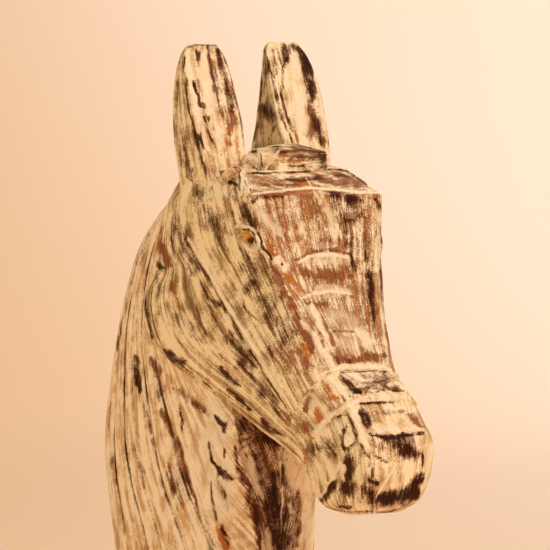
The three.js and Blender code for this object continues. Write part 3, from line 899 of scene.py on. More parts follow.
FACE_MARKS = {
    "under the edge": (RUST, 1.8, 1.0, [(258, 197), (290, 193.5), (311, 190.6)]),
    "under the edge, orange": (ORANGE, 2.0, 0.85, [(296, 193), (312, 190.5), (318, 190)]),
    "left edge, orange": (ORANGE, 2.6, 0.8, [(271, 246), (276, 256)]),
    "thick stroke's orange": (ORANGE, 2.0, 0.85, [(328, 332), (333, 344)]),
    "chamfer, orange": (ORANGE, 2.2, 0.8, [(292, 292), (298, 300)]),
    "chamfer, low orange": (ORANGE, 2.6, 0.75, [(303, 345), (309, 356)]),
    "under the edge, dark": (DARK, 1.5, 0.8, [(257, 196.6), (283, 195)]),
    "top left corner": (DARK, 2.8, 1.0, [(252, 203), (256.5, 198)]),
    "top left dark": (DARK, 2.0, 0.9, [(258, 199), (270, 197), (284, 196)]),
    "top right": (DARK, 4.6, 0.95, [(332, 195), (348, 198), (362, 201)]),
    "right corner": (DARK, 2.5, 0.9, [(375, 199), (381, 208)]),
    "grey field": (DARK, 14.0, 0.68, [(347, 206), (350, 222), (352, 238)]),
    "left white": (WHITE, 4.6, 0.56, [(253, 205), (263, 216), (271, 226), (278, 235)]),
    "seam": (WHITE, 1.2, 0.75, [(306, 178), (316.5, 195), (329, 218), (337, 244)]),
    "right of the seam": (WHITE, 3.0, 0.45, [(322, 196), (330, 214), (338, 238)]),
    "first arc, dark": (RUST, 1.7, 1.0, [(297, 260), (311, 251.8), (327, 249.8), (342, 251.2), (351, 255)]),
    "first arc, white": (WHITE, 1.7, 0.95, [(298, 263), (310, 256.3), (323, 254.2), (336, 255),
                                            (349, 257.5)]),
    "first arc, below": (WHITE, 3.4, 0.5, [(303, 262), (323, 260), (345, 262)]),
    "between the arcs": (RUST, 8.0, 0.85, [(305, 274), (327, 273), (350, 277)]),
    "second arc, above": (WHITE, 2.8, 0.56, [(318, 287), (335, 287), (350, 290)]),
    "second arc": (WHITE, 1.8, 0.85, [(303, 298), (316, 293), (336, 291), (352, 294)]),
    "under the second arc": (RUST, 2.4, 1.0, [(306, 303), (318, 304.5), (329, 305)]),
    "lower rust": (RUST, 8.0, 0.55, [(330, 306), (345, 309), (360, 305)]),
    "low right rust": (RUST, 6.0, 0.5, [(366, 300), (370, 322), (378, 344)]),
    "cross strokes": (WHITE, 9.0, 0.44, [(332, 314), (345, 318), (352, 326)]),
    "lower field": (WHITE, 8.0, 0.42, [(342, 340), (352, 345)]),
    "thick stroke": (WHITE, 3.0, 0.85, [(311, 304), (317, 316), (320, 330)]),
    "thick stroke's end": (WHITE, 3.4, 0.9, [(314, 332), (319, 343), (327, 356), (333, 367), (339, 375)]),
    "thick stroke's rust": (RUST, 2.8, 1.0, [(322, 318), (327, 329), (333, 346)]),
    "rust in the thick stroke": (RUST, 2.0, 1.0, [(318.5, 329), (320, 333)]),
    "rust in its end": (RUST, 2.0, 1.0, [(322.5, 341), (324, 348)]),
    "third arc": (RUST, 1.5, 0.9, [(333, 331.5), (345, 331), (358, 332)]),
    "right low white": (WHITE, 4.5, 0.7, [(358, 330), (369, 343)]),
    "right streak": (DARK, 3.2, 1.0, [(365, 251), (368, 272), (371.5, 295), (375, 322)]),
    "right streak above": (DARK, 1.5, 0.75, [(363.5, 224), (365, 249)]),
    "arc's right end": (DARK, 1.9, 0.85, [(351, 254), (355, 270)]),
    "right of the field": (DARK, 1.5, 0.8, [(375, 224), (376, 238)]),
    "far edge, white": (WHITE, 3.0, 0.4, [(377, 212), (377, 250), (378, 290), (382, 325)]),
    "outline": (DARK, 1.0, 0.8, [(381.6, 206), (382, 244), (381, 276), (384, 308), (388, 334), (392, 358)]),
    "foot": (RUST, 4.2, 1.0, [(336, 358), (355, 359.5), (386, 355)]),
    "foot's white": (WHITE, 2.8, 1.05, [(332, 370), (345, 366.6), (362, 366), (383, 367.5)]),
    "foot's dark": (DARK, 2.6, 0.7, [(336, 363), (348, 362)]),
    "orange spot": (ORANGE, 3.6, 0.9, [(287, 277), (291, 280)]),
    "lower orange spot": (ORANGE, 3.0, 0.8, [(297, 284), (300, 290)]),
    "nail patch": (WHITE, 4.2, 0.85, [(277.5, 261), (284, 267.5)]),
    "nail": (DARK, 1.2, 1.7, [(281.2, 264), (281.8, 264.6)]),
    "chamfer, upper": (RUST, 4.4, 0.95, [(271, 247), (277, 274), (286, 295)]),
    "chamfer, lower": (RUST, 4.6, 0.95, [(288, 297), (297, 318), (305, 338), (312, 352)]),
    "chamfer, white": (WHITE, 2.0, 0.66, [(300, 277), (306, 290)]),
    "chamfer, low white": (WHITE, 3.2, 0.64, [(302, 322), (308, 328)]),
    "chamfer, dark": (DARK, 2.2, 0.8, [(298, 312), (300, 317)]),
}
CHEEK_MARKS = {
    "lid, upper": (WHITE, 1.9, 0.95, [(236.5, 228), (242, 226), (249, 226.5), (255, 231.5), (258, 240),
                                      (259.5, 247)]),
    "lid, lower": (WHITE, 1.6, 0.85, [(240.5, 235), (244, 243), (248, 249), (255, 252)]),
    "lid, tail": (WHITE, 1.3, 1.0, [(258, 247), (264, 252.5), (270, 258)]),
    "lid, fold": (DARK, 1.2, 1.0, [(242, 229.5), (249, 229), (254.5, 235), (256, 244)]),
    "lid, corner": (RUST, 1.4, 0.4, [(237, 229), (242, 233), (244, 240)]),
    "tail's shadow": (DARK, 1.6, 0.95, [(260, 243), (266, 250), (272, 260)]),
    "before the eye": (DARK, 4.6, 1.0, [(244, 206), (248, 216), (253, 225)]),
    "over the lid": (DARK, 2.6, 1.0, [(252, 224), (258.5, 236), (262, 243)]),
    "behind the eye": (DARK, 3.2, 0.7, [(240, 247), (247, 259), (252.5, 268)]),
    "cheek patch": (DARK, 5.2, 0.85, [(246.5, 290), (252, 283), (259, 287)]),
    "cheek line": (DARK, 1.2, 0.8, [(241, 295), (245, 308), (257.5, 321)]),
    "mottled": (DARK, 9.0, 0.64, [(262, 300), (272, 318), (284, 338)]),
    "jowl, soft": (DARK, 6.0, 0.55, [(176, 312), (190, 326), (203, 342)]),
    "jowl, upper soft": (DARK, 4.0, 0.5, [(160, 292), (170, 306)]),
    "before the ridge": (DARK, 7.0, 0.74, [(229, 334), (246, 362), (264, 390), (279, 411)]),
    "above the ridge": (DARK, 9.0, 0.58, [(200, 192), (214, 220), (230, 250)]),
    "above the ridge, low": (DARK, 9.0, 0.58, [(250, 262), (262, 284)]),
    "behind the ridge": (DARK, 6.5, 0.56, [(176, 226), (188, 252), (200, 278)]),
    "mottled rust": (RUST, 10.0, 0.62, [(272, 318), (284, 345), (292, 372)]),
    "front streak": (DARK, 2.2, 0.75, [(280.5, 295), (288, 318), (296, 337)]),
    "lower brown": (RUST, 5.0, 0.8, [(298, 352), (306, 366)]),
    "lower streak": (DARK, 2.0, 0.7, [(268, 345), (276, 368), (284, 384)]),
    "upper streak": (DARK, 1.6, 0.6, [(218, 215), (226, 235), (233, 255)]),
    "upper grey": (DARK, 4.0, 0.66, [(204, 205), (212, 225), (220, 245)]),
    "side patch": (DARK, 2.4, 0.6, [(232, 213), (236, 224)]),
    "upper right grey": (DARK, 4.0, 0.5, [(236, 192), (240, 205)]),
    # Painted highlight on the raised edge of the cheek's ridge, and after it the ridge's painted shadow below
    # that edge.
    "ridge, painted highlight": (WHITE, 1.15, 1.2, [(188, 238), (211, 276), (232, 313), (252, 345), (271, 377),
                                        (290, 405), (300, 423)]),
    "ridge's shadow": (DARK, 1.5, 0.9, [(185, 239), (208, 278), (229, 315), (249, 348), (268, 380),
                                        (287, 408)]),
    "ridge's blot": (DARK, 3.0, 1.0, [(215, 300), (219, 304)]),
    "hair, brown": (RUST, 4.0, 0.95, [(158.5, 226), (161, 245), (166, 258), (172, 266)]),
    "hair, brown's foot": (DARK, 2.2, 0.9, [(156, 264), (161, 268), (166, 268)]),
    "hair, brown below": (RUST, 2.6, 0.85, [(172, 282), (174.6, 297), (181, 311)]),
    "hair, rear line": (DARK, 1.7, 0.95, [(147, 268), (143.5, 295), (147, 315), (152, 339)]),
    "hair, line": (DARK, 1.4, 0.6, [(155.5, 268), (160.6, 303)]),
    "hair, great blot": (DARK, 3.8, 1.0, [(165, 350), (173, 359), (186, 362.5)]),
    "hair, dash": (DARK, 1.4, 0.85, [(196, 307), (206.5, 336)]),
    "hair, long dash": (DARK, 1.5, 0.75, [(209, 305), (218, 327), (228, 344)]),
    "hair, low dash": (DARK, 1.4, 0.85, [(219, 353), (236, 370)]),
    "hair, top dash": (DARK, 1.9, 0.8, [(174.6, 223), (181, 235)]),
    "hair, grey": (DARK, 2.2, 0.75, [(171, 236), (174.6, 251)]),
    "hair, grey below": (DARK, 4.0, 0.72, [(184, 252), (196, 277)]),
    "hair, dark dash": (DARK, 1.7, 0.85, [(199, 279), (209, 299)]),
    "hair, brown blot": (DARK, 2.6, 0.9, [(220, 366), (227, 377), (242, 386)]),
    "hair, low blot": (DARK, 2.4, 1.0, [(226, 390), (236, 397), (250, 410)]),
    "hair, last blot": (DARK, 2.6, 1.0, [(262, 419), (271, 430), (280, 434)]),
    "hair, thin": (DARK, 1.2, 0.8, [(203, 381), (217, 394)]),
    "jaw line": (DARK, 2.0, 1.0, [(160, 352), (183, 374), (198, 387), (217, 400)]),
    "jaw line below": (DARK, 1.5, 0.9, [(221, 403), (236, 412)]),
    "corner, brown": (RUST, 4.2, 0.8, [(284, 412), (293, 426), (300, 440)]),
    "jaw edge": (WHITE, 2.4, 0.7, [(215, 404), (245, 421), (272, 439), (292, 456)]),
}
NECK_MARKS = {
    "white field": (WHITE, 16.0, 0.62, [(212, 420), (216, 470), (226, 520)]),
    "upper blot": (DARK, 2.7, 1.0, [(214, 415), (220, 422), (225, 428)]),
    "blot's foot": (DARK, 2.6, 0.9, [(225, 424), (224, 431)]),
    "branching line": (DARK, 2.1, 1.0, [(208, 442), (211, 460), (220, 469), (230, 477), (236, 481)]),
    "branch": (DARK, 3.4, 1.0, [(219, 472), (227, 480)]),
    "dots": (DARK, 1.5, 1.0, [(224, 447), (225, 459)]),
    "lower branch": (DARK, 1.7, 0.85, [(222, 487), (227, 498)]),
    "thin line": (DARK, 1.5, 0.85, [(177, 403), (183, 418), (181.5, 431)]),
    "long line": (DARK, 1.7, 0.85, [(211, 480), (212.4, 501), (217, 523)]),
    "orange foot": (ORANGE, 4.2, 1.0, [(217, 518), (222, 536), (227, 552)]),
    "orange foot's core": (DARK, 2.6, 0.75, [(222, 526), (228, 545)]),
    "great groove": (RUST, 3.4, 1.0, [(161, 410), (171, 428), (178.6, 446), (183, 465), (189, 484),
                                      (198, 504)]),
    "great groove's foot": (RUST, 2.0, 0.85, [(196, 500), (205, 524), (214, 546)]),
    "great groove, light": (WHITE, 1.3, 0.95, [(178, 428), (189.5, 465), (204, 522), (216, 546)]),
    "rear groove": (DARK, 3.2, 1.0, [(135.3, 356), (137, 372), (140.5, 391)]),
    "brown streak's dark": (DARK, 2.4, 0.7, [(152, 360), (158, 376), (161, 394)]),
    "brown streak": (RUST, 3.8, 0.95, [(151.5, 358), (158.5, 374), (158.5, 390), (160, 400)]),
    "under the jaw": (RUST, 3.6, 0.8, [(174, 388), (188, 397), (204, 411)]),
    "under the jaw, dark": (DARK, 2.0, 0.75, [(182, 396), (196, 405), (207, 414)]),
    "below the branch": (DARK, 4.2, 0.72, [(217, 478), (223, 494), (229, 512)]),
    "great groove's dark": (DARK, 1.6, 0.8, [(165, 415), (178, 442), (187, 476), (197, 505)]),
    "band's dark": (DARK, 3.2, 0.62, [(168, 470), (175, 490), (178, 508)]),
    "brown band": (RUST, 4.6, 0.7, [(168, 464), (177, 487), (180, 510)]),
    "soft line": (DARK, 2.2, 0.55, [(131.7, 442), (143.4, 472), (145, 488)]),
    "rear soft line": (DARK, 2.4, 0.5, [(109.7, 450), (113, 470), (115.5, 490)]),
    "middle soft line": (DARK, 2.2, 0.6, [(143.4, 405), (152, 431), (155.5, 446)]),
    "crest strokes": (DARK, 2.0, 0.6, [(150, 232), (139, 258), (131, 285)]),
    "crest strokes below": (DARK, 1.6, 0.6, [(128, 292), (121, 325), (117, 350)]),
    "throat's wall": (RUST, 4.0, 1.0, [(236, 449), (239, 466), (245, 481), (251, 499), (258, 517),
                                       (259, 552)]),
    "throat's wall, dark": (DARK, 3.4, 0.9, [(236, 449), (239, 466), (245, 481), (251, 499), (258, 517),
                                             (259, 552)]),
    # Painted shade: a dark ground over the throat's recess, where the jaw and the mane's edges shade it.
    "throat, painted recess shade": (DARK, 16.0, 0.85, [(256, 442), (264, 480), (276, 520), (280, 552)]),
    "throat, far painted recess shade": (DARK, 8.0, 0.78, [(284, 468), (290, 500), (290, 552)]),
    "throat, cream": (WHITE, 6.4, 0.74, [(251, 456), (256, 478), (262, 498)]),
    "throat, far cream": (WHITE, 5.2, 0.7, [(287, 464), (290, 482)]),
    "throat, low cream": (WHITE, 4.6, 0.62, [(268, 528), (272, 548)]),
    "throat, dark patch": (DARK, 5.5, 1.0, [(272, 474), (275, 490), (273, 508)]),
    # Painted shadow cast by the jaw across the top of the throat.
    "throat, painted shadow under the jaw": (DARK, 9.0, 1.0, [(245, 424), (258, 432), (274, 441)]),
    "throat, seam": (WHITE, 1.1, 0.8, [(280.6, 452), (282, 487), (281.3, 516), (280, 546)]),
    "throat, small dark": (DARK, 3.2, 0.85, [(284, 494), (289, 495)]),
    "throat, light": (WHITE, 4.5, 0.75, [(289, 503), (291, 514)]),
    "throat, shade": (DARK, 11.0, 0.6, [(252, 436), (268, 446), (284, 458)]),
    "throat, far strip's dark": (DARK, 2.2, 0.8, [(297, 488), (299, 512), (296, 546)]),
    "throat, far strip": (RUST, 2.6, 0.95, [(299, 492), (300.5, 516), (297, 546)]),
    # Painted highlight: the front edge of the far side's mane beside the throat, as lit from the right.
    "throat, painted lit edge": (WHITE, 5.0, 0.8, [(308, 474), (308, 512), (308, 550)]),
}
BAND_MARKS = {
    "orange patch": (ORANGE, 3.0, 0.9, [(321, 381), (328, 391), (332, 398), (340, 398)]),
    "brown patch": (RUST, 2.5, 0.95, [(309, 400), (306, 411)]),
    "low orange": (ORANGE, 3.8, 1.0, [(316.5, 410), (320, 420), (324, 422)]),
    "corner brown": (RUST, 2.6, 0.8, [(302, 420), (308, 436)]),
    "white strip": (WHITE, 3.0, 1.0, [(329, 376), (337, 386), (345, 395)]),
    "cream side": (WHITE, 4.5, 0.5, [(318, 392), (312, 408)]),
    "dark slant": (DARK, 3.3, 1.0, [(339.6, 375), (345, 381), (354, 390), (362, 392.5)]),
    "front grey": (DARK, 8.0, 0.62, [(352, 381), (384, 381)]),
    "front line": (DARK, 1.4, 0.85, [(352, 382.3), (368, 382), (386, 382.6)]),
    "front upright": (DARK, 3.0, 0.7, [(385, 373), (385.6, 386)]),
    "front corner": (RUST, 3.4, 0.95, [(388, 388), (404, 393)]),
    "front corner's dark": (DARK, 2.6, 0.8, [(385, 387), (397, 391)]),
    "above the lip": (DARK, 1.8, 1.0, [(350, 396.3), (367, 394), (384, 392), (404, 394)]),
    "under the upper lip": (DARK, 1.2, 0.95, [(341, 372.2), (356, 371.2), (378, 371), (389, 372)]),
    "upper lip": (WHITE, 1.6, 1.0, [(301, 401), (308, 390), (319, 379), (329, 372.5), (339, 369.3),
                                    (356, 368)]),
    "upper lip, front": (WHITE, 2.1, 1.0, [(339, 369.3), (356, 368), (372, 367.5), (393, 370)]),
}
LIP_LINE = [(302.8, 467), (304, 456), (307, 445), (312.5, 435.7),
            (320, 426), (329, 417), (338.5, 410.7), (349.4, 404)]
LIP_FRONT = [(349.4, 404), (358, 400), (377.6, 396.8), (394, 396.6), (410, 397)]
MUZZLE_MARKS = {
    "lip": (WHITE, 2.6, 0.95, LIP_LINE[3:]),
    "lip, front": (WHITE, 2.8, 1.0, LIP_FRONT),
    "lip's foot": (ORANGE, 1.8, 0.9, LIP_LINE[:5]),
    "top lens": (DARK, 1.8, 1.0, [(358, 404.6), (369, 402.6), (378, 402), (394, 403)]),
    "top blot": (DARK, 5.0, 1.0, [(361, 413), (366.5, 416), (367, 422)]),
    "top soft": (RUST, 2.8, 0.65, [(375, 412), (390, 413), (404, 411)]),
    "top right": (RUST, 2.6, 0.9, [(408, 414), (421, 426)]),
    "top cream": (WHITE, 4.4, 0.8, [(374, 426), (395, 429), (417, 428)]),
    "brow line": (DARK, 1.5, 1.4, [(369, 434.6), (388, 438), (405, 435.7), (424, 433)]),
    "front blot": (DARK, 9.0, 1.1, [(402, 443), (406, 450)]),
    "front blot, left": (DARK, 5.5, 0.8, [(386, 440), (397, 446)]),
    "front mottled": (RUST, 7.0, 0.62, [(372, 443), (388, 449)]),
    "front brown": (RUST, 2.6, 0.75, [(370, 444), (383, 447.6), (394, 448)]),
    "slit": (DARK, 1.6, 1.0, [(375.4, 456), (382, 459.5), (388.4, 463)]),
    "front dash": (DARK, 1.9, 1.0, [(374.3, 467), (372, 476), (370, 481)]),
    "front cross": (DARK, 2.3, 1.0, [(369, 481), (377.6, 484.4)]),
    "low blot": (DARK, 5.6, 1.0, [(364.6, 490), (371, 495), (372, 502)]),
    "low band": (DARK, 6.6, 1.3, [(384, 499), (399, 498), (412, 491)]),
    "low band's rise": (DARK, 4.4, 1.1, [(409, 491), (417, 481), (423, 473)]),
    "rim dots": (DARK, 1.5, 0.95, [(423, 454), (423.7, 469)]),
    "rim": (WHITE, 2.0, 0.7, [(427, 444), (429, 460), (426, 480), (419, 496)]),
    "scratch": (WHITE, 1.0, 0.9, [(398, 464), (386, 480), (374.3, 501)]),
    "side oval": (WHITE, 3.6, 1.1, [(347.5, 438), (348.5, 443)]),
    "side ring, left": (DARK, 3.0, 0.85, [(345.5, 427), (342, 437), (344, 447.6), (349.4, 450)]),
    "side ring, right": (DARK, 2.8, 0.9, [(349.4, 450), (355, 443), (356, 434.6), (352.6, 426),
                                          (350.5, 417.5)]),
    "side line": (DARK, 1.3, 0.8, [(332, 420.5), (341, 415), (349.4, 415)]),
    "side stain": (DARK, 4.2, 1.0, [(350, 449), (347, 462), (350, 470), (348, 484)]),
    "side light": (WHITE, 2.2, 0.9, [(344, 465), (344.5, 470)]),
    "side blot": (DARK, 6.2, 1.1, [(346, 488), (350, 489)]),
    "side cream": (WHITE, 5.0, 0.5, [(322, 460), (320, 478)]),
    "side soft": (DARK, 6.0, 0.68, [(316, 447.6), (326.6, 444), (336, 453)]),
    "side upper soft": (DARK, 2.6, 0.65, [(322, 437), (326, 441)]),
    "side scratch": (WHITE, 1.2, 0.95, [(341, 461.5), (334, 475), (321, 497)]),
    "side slant": (DARK, 3.8, 1.05, [(336, 480), (329, 493), (318, 503)]),
    "bottom": (DARK, 2.0, 0.9, [(338.5, 506), (352, 507.5)]),
    "corner ridge": (WHITE, 3.6, 0.85, [(353, 405), (358, 420), (363, 436), (368, 450)]),
    "corner ridge's foot": (WHITE, 3.0, 0.75, [(358, 465), (359, 486)]),
    "corner line": (DARK, 1.1, 0.9, [(360, 442), (364.6, 452), (370, 458.5), (370, 467)]),
    "outline": (DARK, 1.2, 0.75, [(314, 500), (330, 509), (350, 511.8), (388, 511.8), (406, 508)]),
}
# Strokes of a rasp across the top of the throat, one below the other.
RASP_STROKES = 7
RASP_STEP = 3.9
for k in range(RASP_STROKES):
    stroke = [(x, y + RASP_STEP * k) for x, y in [(240, 431), (252, 432.5), (266, 433), (277, 431.5)]]
    NECK_MARKS[f"rasp {k}"] = (DARK, 1.2, 0.85, stroke)
MARKS = {
    HEAD: {**SHELF_MARKS, **FACE_MARKS, **CHEEK_MARKS, **POLL_MARKS},
    BAND: {**BAND_MARKS, "lip": MUZZLE_MARKS["lip"]},
    MUZZLE: MUZZLE_MARKS, NECK: NECK_MARKS, EARS: EAR_MARKS, TUFT: POLL_MARKS,
}

# Fine carving that follows a line of the picture: half width there, and how far it is raised, in millimetres.
CARVED_LINES = {
    "upper lip": (2.3, 1.3, [(300, 402), (308, 390), (319, 379), (329, 372.5), (339, 369.3), (356, 368),
                             (393, 370)]),
    "lower lip": (2.8, 1.5, LIP_LINE + LIP_FRONT[1:]),
    "under the lower lip": (2.4, -0.9, [(308, 462), (311, 449), (318, 437), (327, 427), (337, 419),
                                        (350, 411),
                                        (362, 405), (392, 403), (414, 404)]),
    "above the first arc": (2.4, -1.0, [(297, 259), (311, 251), (327, 249), (342, 250.5), (352, 255)]),
    "first arc": (2.4, 0.8, [(298, 264), (311, 257), (324, 255), (337, 256), (350, 259)]),
    "second arc": (2.6, 0.7, [(303, 299), (317, 294), (336, 292), (353, 295)]),
    "above the second arc": (2.8, -0.7, [(303, 293), (317, 288), (336, 286), (353, 289)]),
    "second jaw line": (2.4, -1.2, [(160, 354), (170, 370), (180, 389), (199, 408), (219, 422), (230, 428)]),
    "back of the shelf": (2.0, -1.2, [(246, 173.6), (285, 172.6), (330, 170)]),
    "seam on the face": (1.5, 0.5, [(306, 178), (316, 195), (329, 218), (337, 246)]),
    "throat's seam": (1.5, 0.7, [(281, 452), (282, 487), (281, 516), (280, 560)]),
    "far ear's fold": (2.0, -0.8, [(277.6, 48), (283, 66), (281.5, 82), (285, 112), (298, 141)]),
    "near ear's fold": (2.0, -0.8, [(209, 50), (214, 80), (217, 104), (229, 132)]),
    "near ear's slash": (1.8, -0.8, [(193, 79), (198, 101), (202, 127), (204, 150)]),
    "brow of the muzzle": (2.0, -0.8, [(368, 434.6), (388, 438), (405, 435.7), (426, 433)]),
    "slit": (2.0, -1.2, [(375, 456), (382, 459.5), (389, 463)]),
    "roll's hollow": (3.4, -2.2, [(222, 173), (229, 179)]),
    "roll's crease": (2.0, -1.2, [(219, 168), (226, 180), (237, 186)]),
    "muzzle scratch": (1.4, -0.5, [(341, 461), (334, 475), (321, 497)]),
}


def line_level(at_x, at_y, places, half_width):
    """How near points are to a line: 1 on it, a half at its half width. Long lines thin at their ends."""
    spots = np.array(places, float)
    way = np.linalg.norm(np.diff(spots, axis=0), axis=1)
    begin = np.concatenate([[0], np.cumsum(way)])
    total = begin[-1]
    low, high = spots.min(0) - 3 * half_width, spots.max(0) + 3 * half_width
    level = np.zeros(len(at_x))
    pick = np.flatnonzero((at_x > low[0]) & (at_x < high[0]) & (at_y > low[1]) & (at_y < high[1]))
    if not len(pick):
        return level
    best, along = np.full(len(pick), 1e9), np.zeros(len(pick))
    for k, length in enumerate(way):
        ax, ay = at_x[pick] - spots[k, 0], at_y[pick] - spots[k, 1]
        dx, dy = spots[k + 1] - spots[k]
        t = np.clip((ax * dx + ay * dy) / length**2, 0, 1)
        distance = np.hypot(ax - t * dx, ay - t * dy)
        nearer = distance < best
        best = np.where(nearer, distance, best)
        along = np.where(nearer, begin[k] + t * length, along)
    slim = 1.0
    if total > 5 * half_width:
        slim = 0.5 + 0.5 * np.sqrt(np.sin(np.pi * np.clip(along / total, 0.0, 1.0)).clip(0, 1))
    level[pick] = np.clip(1 - 0.5 * best / (half_width * slim), 0, 1)
    return level


def read(items, name, width=1, kind=np.float32):
    """One value of every item in a mesh's list, as an array."""
    values = np.empty(len(items) * width, kind)
    items.foreach_get(name, values)
    return values.reshape(-1, width) if width > 1 else values


def vertex_values(mesh):
    """Every vertex's place and normal."""
    return read(mesh.vertices, "co", 3).astype(float), read(mesh.vertex_normals, "vector", 3).astype(float)


def move_vertices(mesh, co):
    mesh.vertices.foreach_set("co", co.astype(np.float32).ravel())
    mesh.update()


def face_regions(mesh):
    return read(mesh.attributes["region"].data, "value", kind=np.int32)


def corner_counts(mesh):
    return read(mesh.polygons, "loop_total", kind=np.int32)


def seen_places(co, normal):
    """Each vertex's place in the picture, from its mirror image where the photograph doesn't show it."""
    mirror = np.array([-1, 1, 1])
    faces = normal @ TOWARD_CAMERA
    mirrored = (normal * mirror) @ TOWARD_CAMERA
    shown = faces > 0.02
    borrowed = ~shown & (mirrored > 0.02)
    x, y = picture_of(np.where(borrowed[:, None], co * mirror, co))
    hidden = ~shown & ~borrowed
    x[hidden] = y[hidden] = -1e4
    return x, y


def vertex_regions(mesh):
    region = np.zeros(len(mesh.vertices), np.int32)
    corner = read(mesh.loops, "vertex_index", kind=np.int32)
    region[corner] = np.repeat(face_regions(mesh), corner_counts(mesh))
    return region


# The bead's middle and radius. Then the almond of the eyelids, measured from the bead's middle: its tips
# along the lid, its half heights and its slope down toward the nose, and the size of its rim and socket.
EYE_FORWARD, EYE_UP, EYE_OUT, EYE_RADIUS = 146.3, 340.8, 64.9, 6.7
REAR_TIP, FRONT_TIP, OVER, UNDER, LID_TILT = -17, 27, 9, 8, math.radians(31)
RIM_WIDTH, RIM_HEIGHT, SOCKET_DEPTH = 2.6, 1.9, 3.0


def lid_frame(co):
    """Where points lie along and across an eyelid, in millimetres."""
    forward, up = -co[:, 1] / MM - EYE_FORWARD, co[:, 2] / MM - EYE_UP
    along = forward * math.cos(LID_TILT) - up * math.sin(LID_TILT)
    across = forward * math.sin(LID_TILT) + up * math.cos(LID_TILT)
    return along, across


def almond_depth(along, across):
    """How far points lie inside the almond's outline, in millimetres; outside it the depth is negative."""
    t = np.linspace(0, 1, 60)
    run = (1 - t) ** 2 * REAR_TIP + 2 * t * (1 - t) * -2 + t**2 * FRONT_TIP
    upper, lower = 4 * t * (1 - t) * OVER, -4 * t * (1 - t) * UNDER
    outline = np.concatenate([np.stack([run, upper], 1), np.stack([run, lower], 1)])
    near = np.min(np.hypot(along[:, None] - outline[:, 0], across[:, None] - outline[:, 1]), axis=1)
    inside = (across < np.interp(along, run, upper)) & (across > np.interp(along, run, lower))
    inside &= (along > REAR_TIP) & (along < FRONT_TIP)
    return np.where(inside, near, -near)


def near_an_eye(co, room):
    along, across = lid_frame(co)
    reach = (along > REAR_TIP - room) & (along < FRONT_TIP + room) & (np.abs(across) < OVER + room)
    return reach & (np.abs(co[:, 0]) > 45 * MM)


POLL_UP = 0.374  # the head's faces above this height, in metres, belong to the shelf at the poll
LONG_EDGE = 0.0024  # in metres
SHELF_UP = 0.372  # and the shelf's brush strokes start at this height


def refine_eyes(mesh):
    """Halves the mesh's edges round the eyes, so that the lids come out smooth."""
    chosen = near_an_eye(vertex_values(mesh)[0], 4)
    work = bmesh.new()
    work.from_mesh(mesh)
    work.verts.ensure_lookup_table()
    edges = [e for e in work.edges if chosen[e.verts[0].index] and chosen[e.verts[1].index]]
    bmesh.ops.subdivide_edges(work, edges=edges, cuts=1, use_grid_fill=True)
    bmesh.ops.triangulate(work, faces=[f for f in work.faces if len(f.verts) > 4])
    work.to_mesh(mesh)
    work.free()
    mesh.update()


POLL_PASSES = 6  # at most, with every long edge halved in each


def refine_poll(mesh):
    """Halves the long edges of the poll's flat faces, so that the marks there have points to sit on."""
    work = bmesh.new()
    work.from_mesh(mesh)
    kind = work.faces.layers.int["region"]

    def flat(face):
        return face[kind] == TUFT or (face[kind] == HEAD and face.calc_center_median().z > POLL_UP)

    for _ in range(POLL_PASSES):
        edges = [e for e in work.edges
                 if e.calc_length() > LONG_EDGE and any(flat(face) for face in e.link_faces)]
        if not edges:
            break
        bmesh.ops.subdivide_edges(work, edges=edges, cuts=1)
        bmesh.ops.triangulate(work, faces=[face for face in work.faces if len(face.verts) > 3])
    work.to_mesh(mesh)
    work.free()
    mesh.update()


def smooth_rise(value, low, high):
    t = np.clip((value - low) / (high - low), 0, 1)
    return t * t * (3 - 2 * t)


def carve_eyes(mesh):
    """Raises the lids' rims and sinks the sockets that the beads sit in."""
    co, normal = vertex_values(mesh)
    pick = np.flatnonzero(near_an_eye(co, 6))
    along, across = lid_frame(co[pick])
    depth = almond_depth(along, across) + 0.35 * wander(along / 5, across / 5, 77)
    raised = RIM_HEIGHT * smooth_rise(depth, -1.6, 0.9)
    raised -= (RIM_HEIGHT + SOCKET_DEPTH) * smooth_rise(depth, RIM_WIDTH - 0.9, RIM_WIDTH + 0.8)
    raised *= 1 - 0.35 * smooth_rise(along, 12, 24)
    co[pick] += normal[pick] * (raised * MM)[:, None]
    move_vertices(mesh, co)


def bead(side, name):
    """A turned glass bead, one for each socket."""
    columns, rows = 48, 32
    verts, faces = [], []
    for row in range(rows + 1):
        lift = math.pi * row / rows
        for column in range(columns if 0 < row < rows else 1):
            turn = 2 * math.pi * column / columns
            ring = EYE_RADIUS * math.sin(lift)
            out = side * EYE_OUT + side * EYE_RADIUS * math.cos(lift)
            ahead, up = -EYE_FORWARD + ring * math.cos(turn), EYE_UP + ring * math.sin(turn)
            verts.append((out * MM, ahead * MM, up * MM))
    first = lambda row: 0 if row == 0 else 1 + (row - 1) * columns
    for row in range(rows):
        for column in range(columns):
            after = (column + 1) % columns
            upper = [first(row)] if row == 0 else [first(row) + column, first(row) + after]
            lower = [first(row + 1)] if row == rows - 1 else [first(row + 1) + after, first(row + 1) + column]
            face = upper + lower
            faces.append(face if side > 0 else face[::-1])
    mesh = bpy.data.meshes.new(name)
    mesh.from_pydata(verts, [], faces)
    for face in mesh.polygons:
        face.use_smooth = True
    return new_object(name, mesh)


LOOKS_UP, LOOKS_FORWARD = 0.45, -0.62  # a face's normal, upward on the shelf and along Y on the noseband


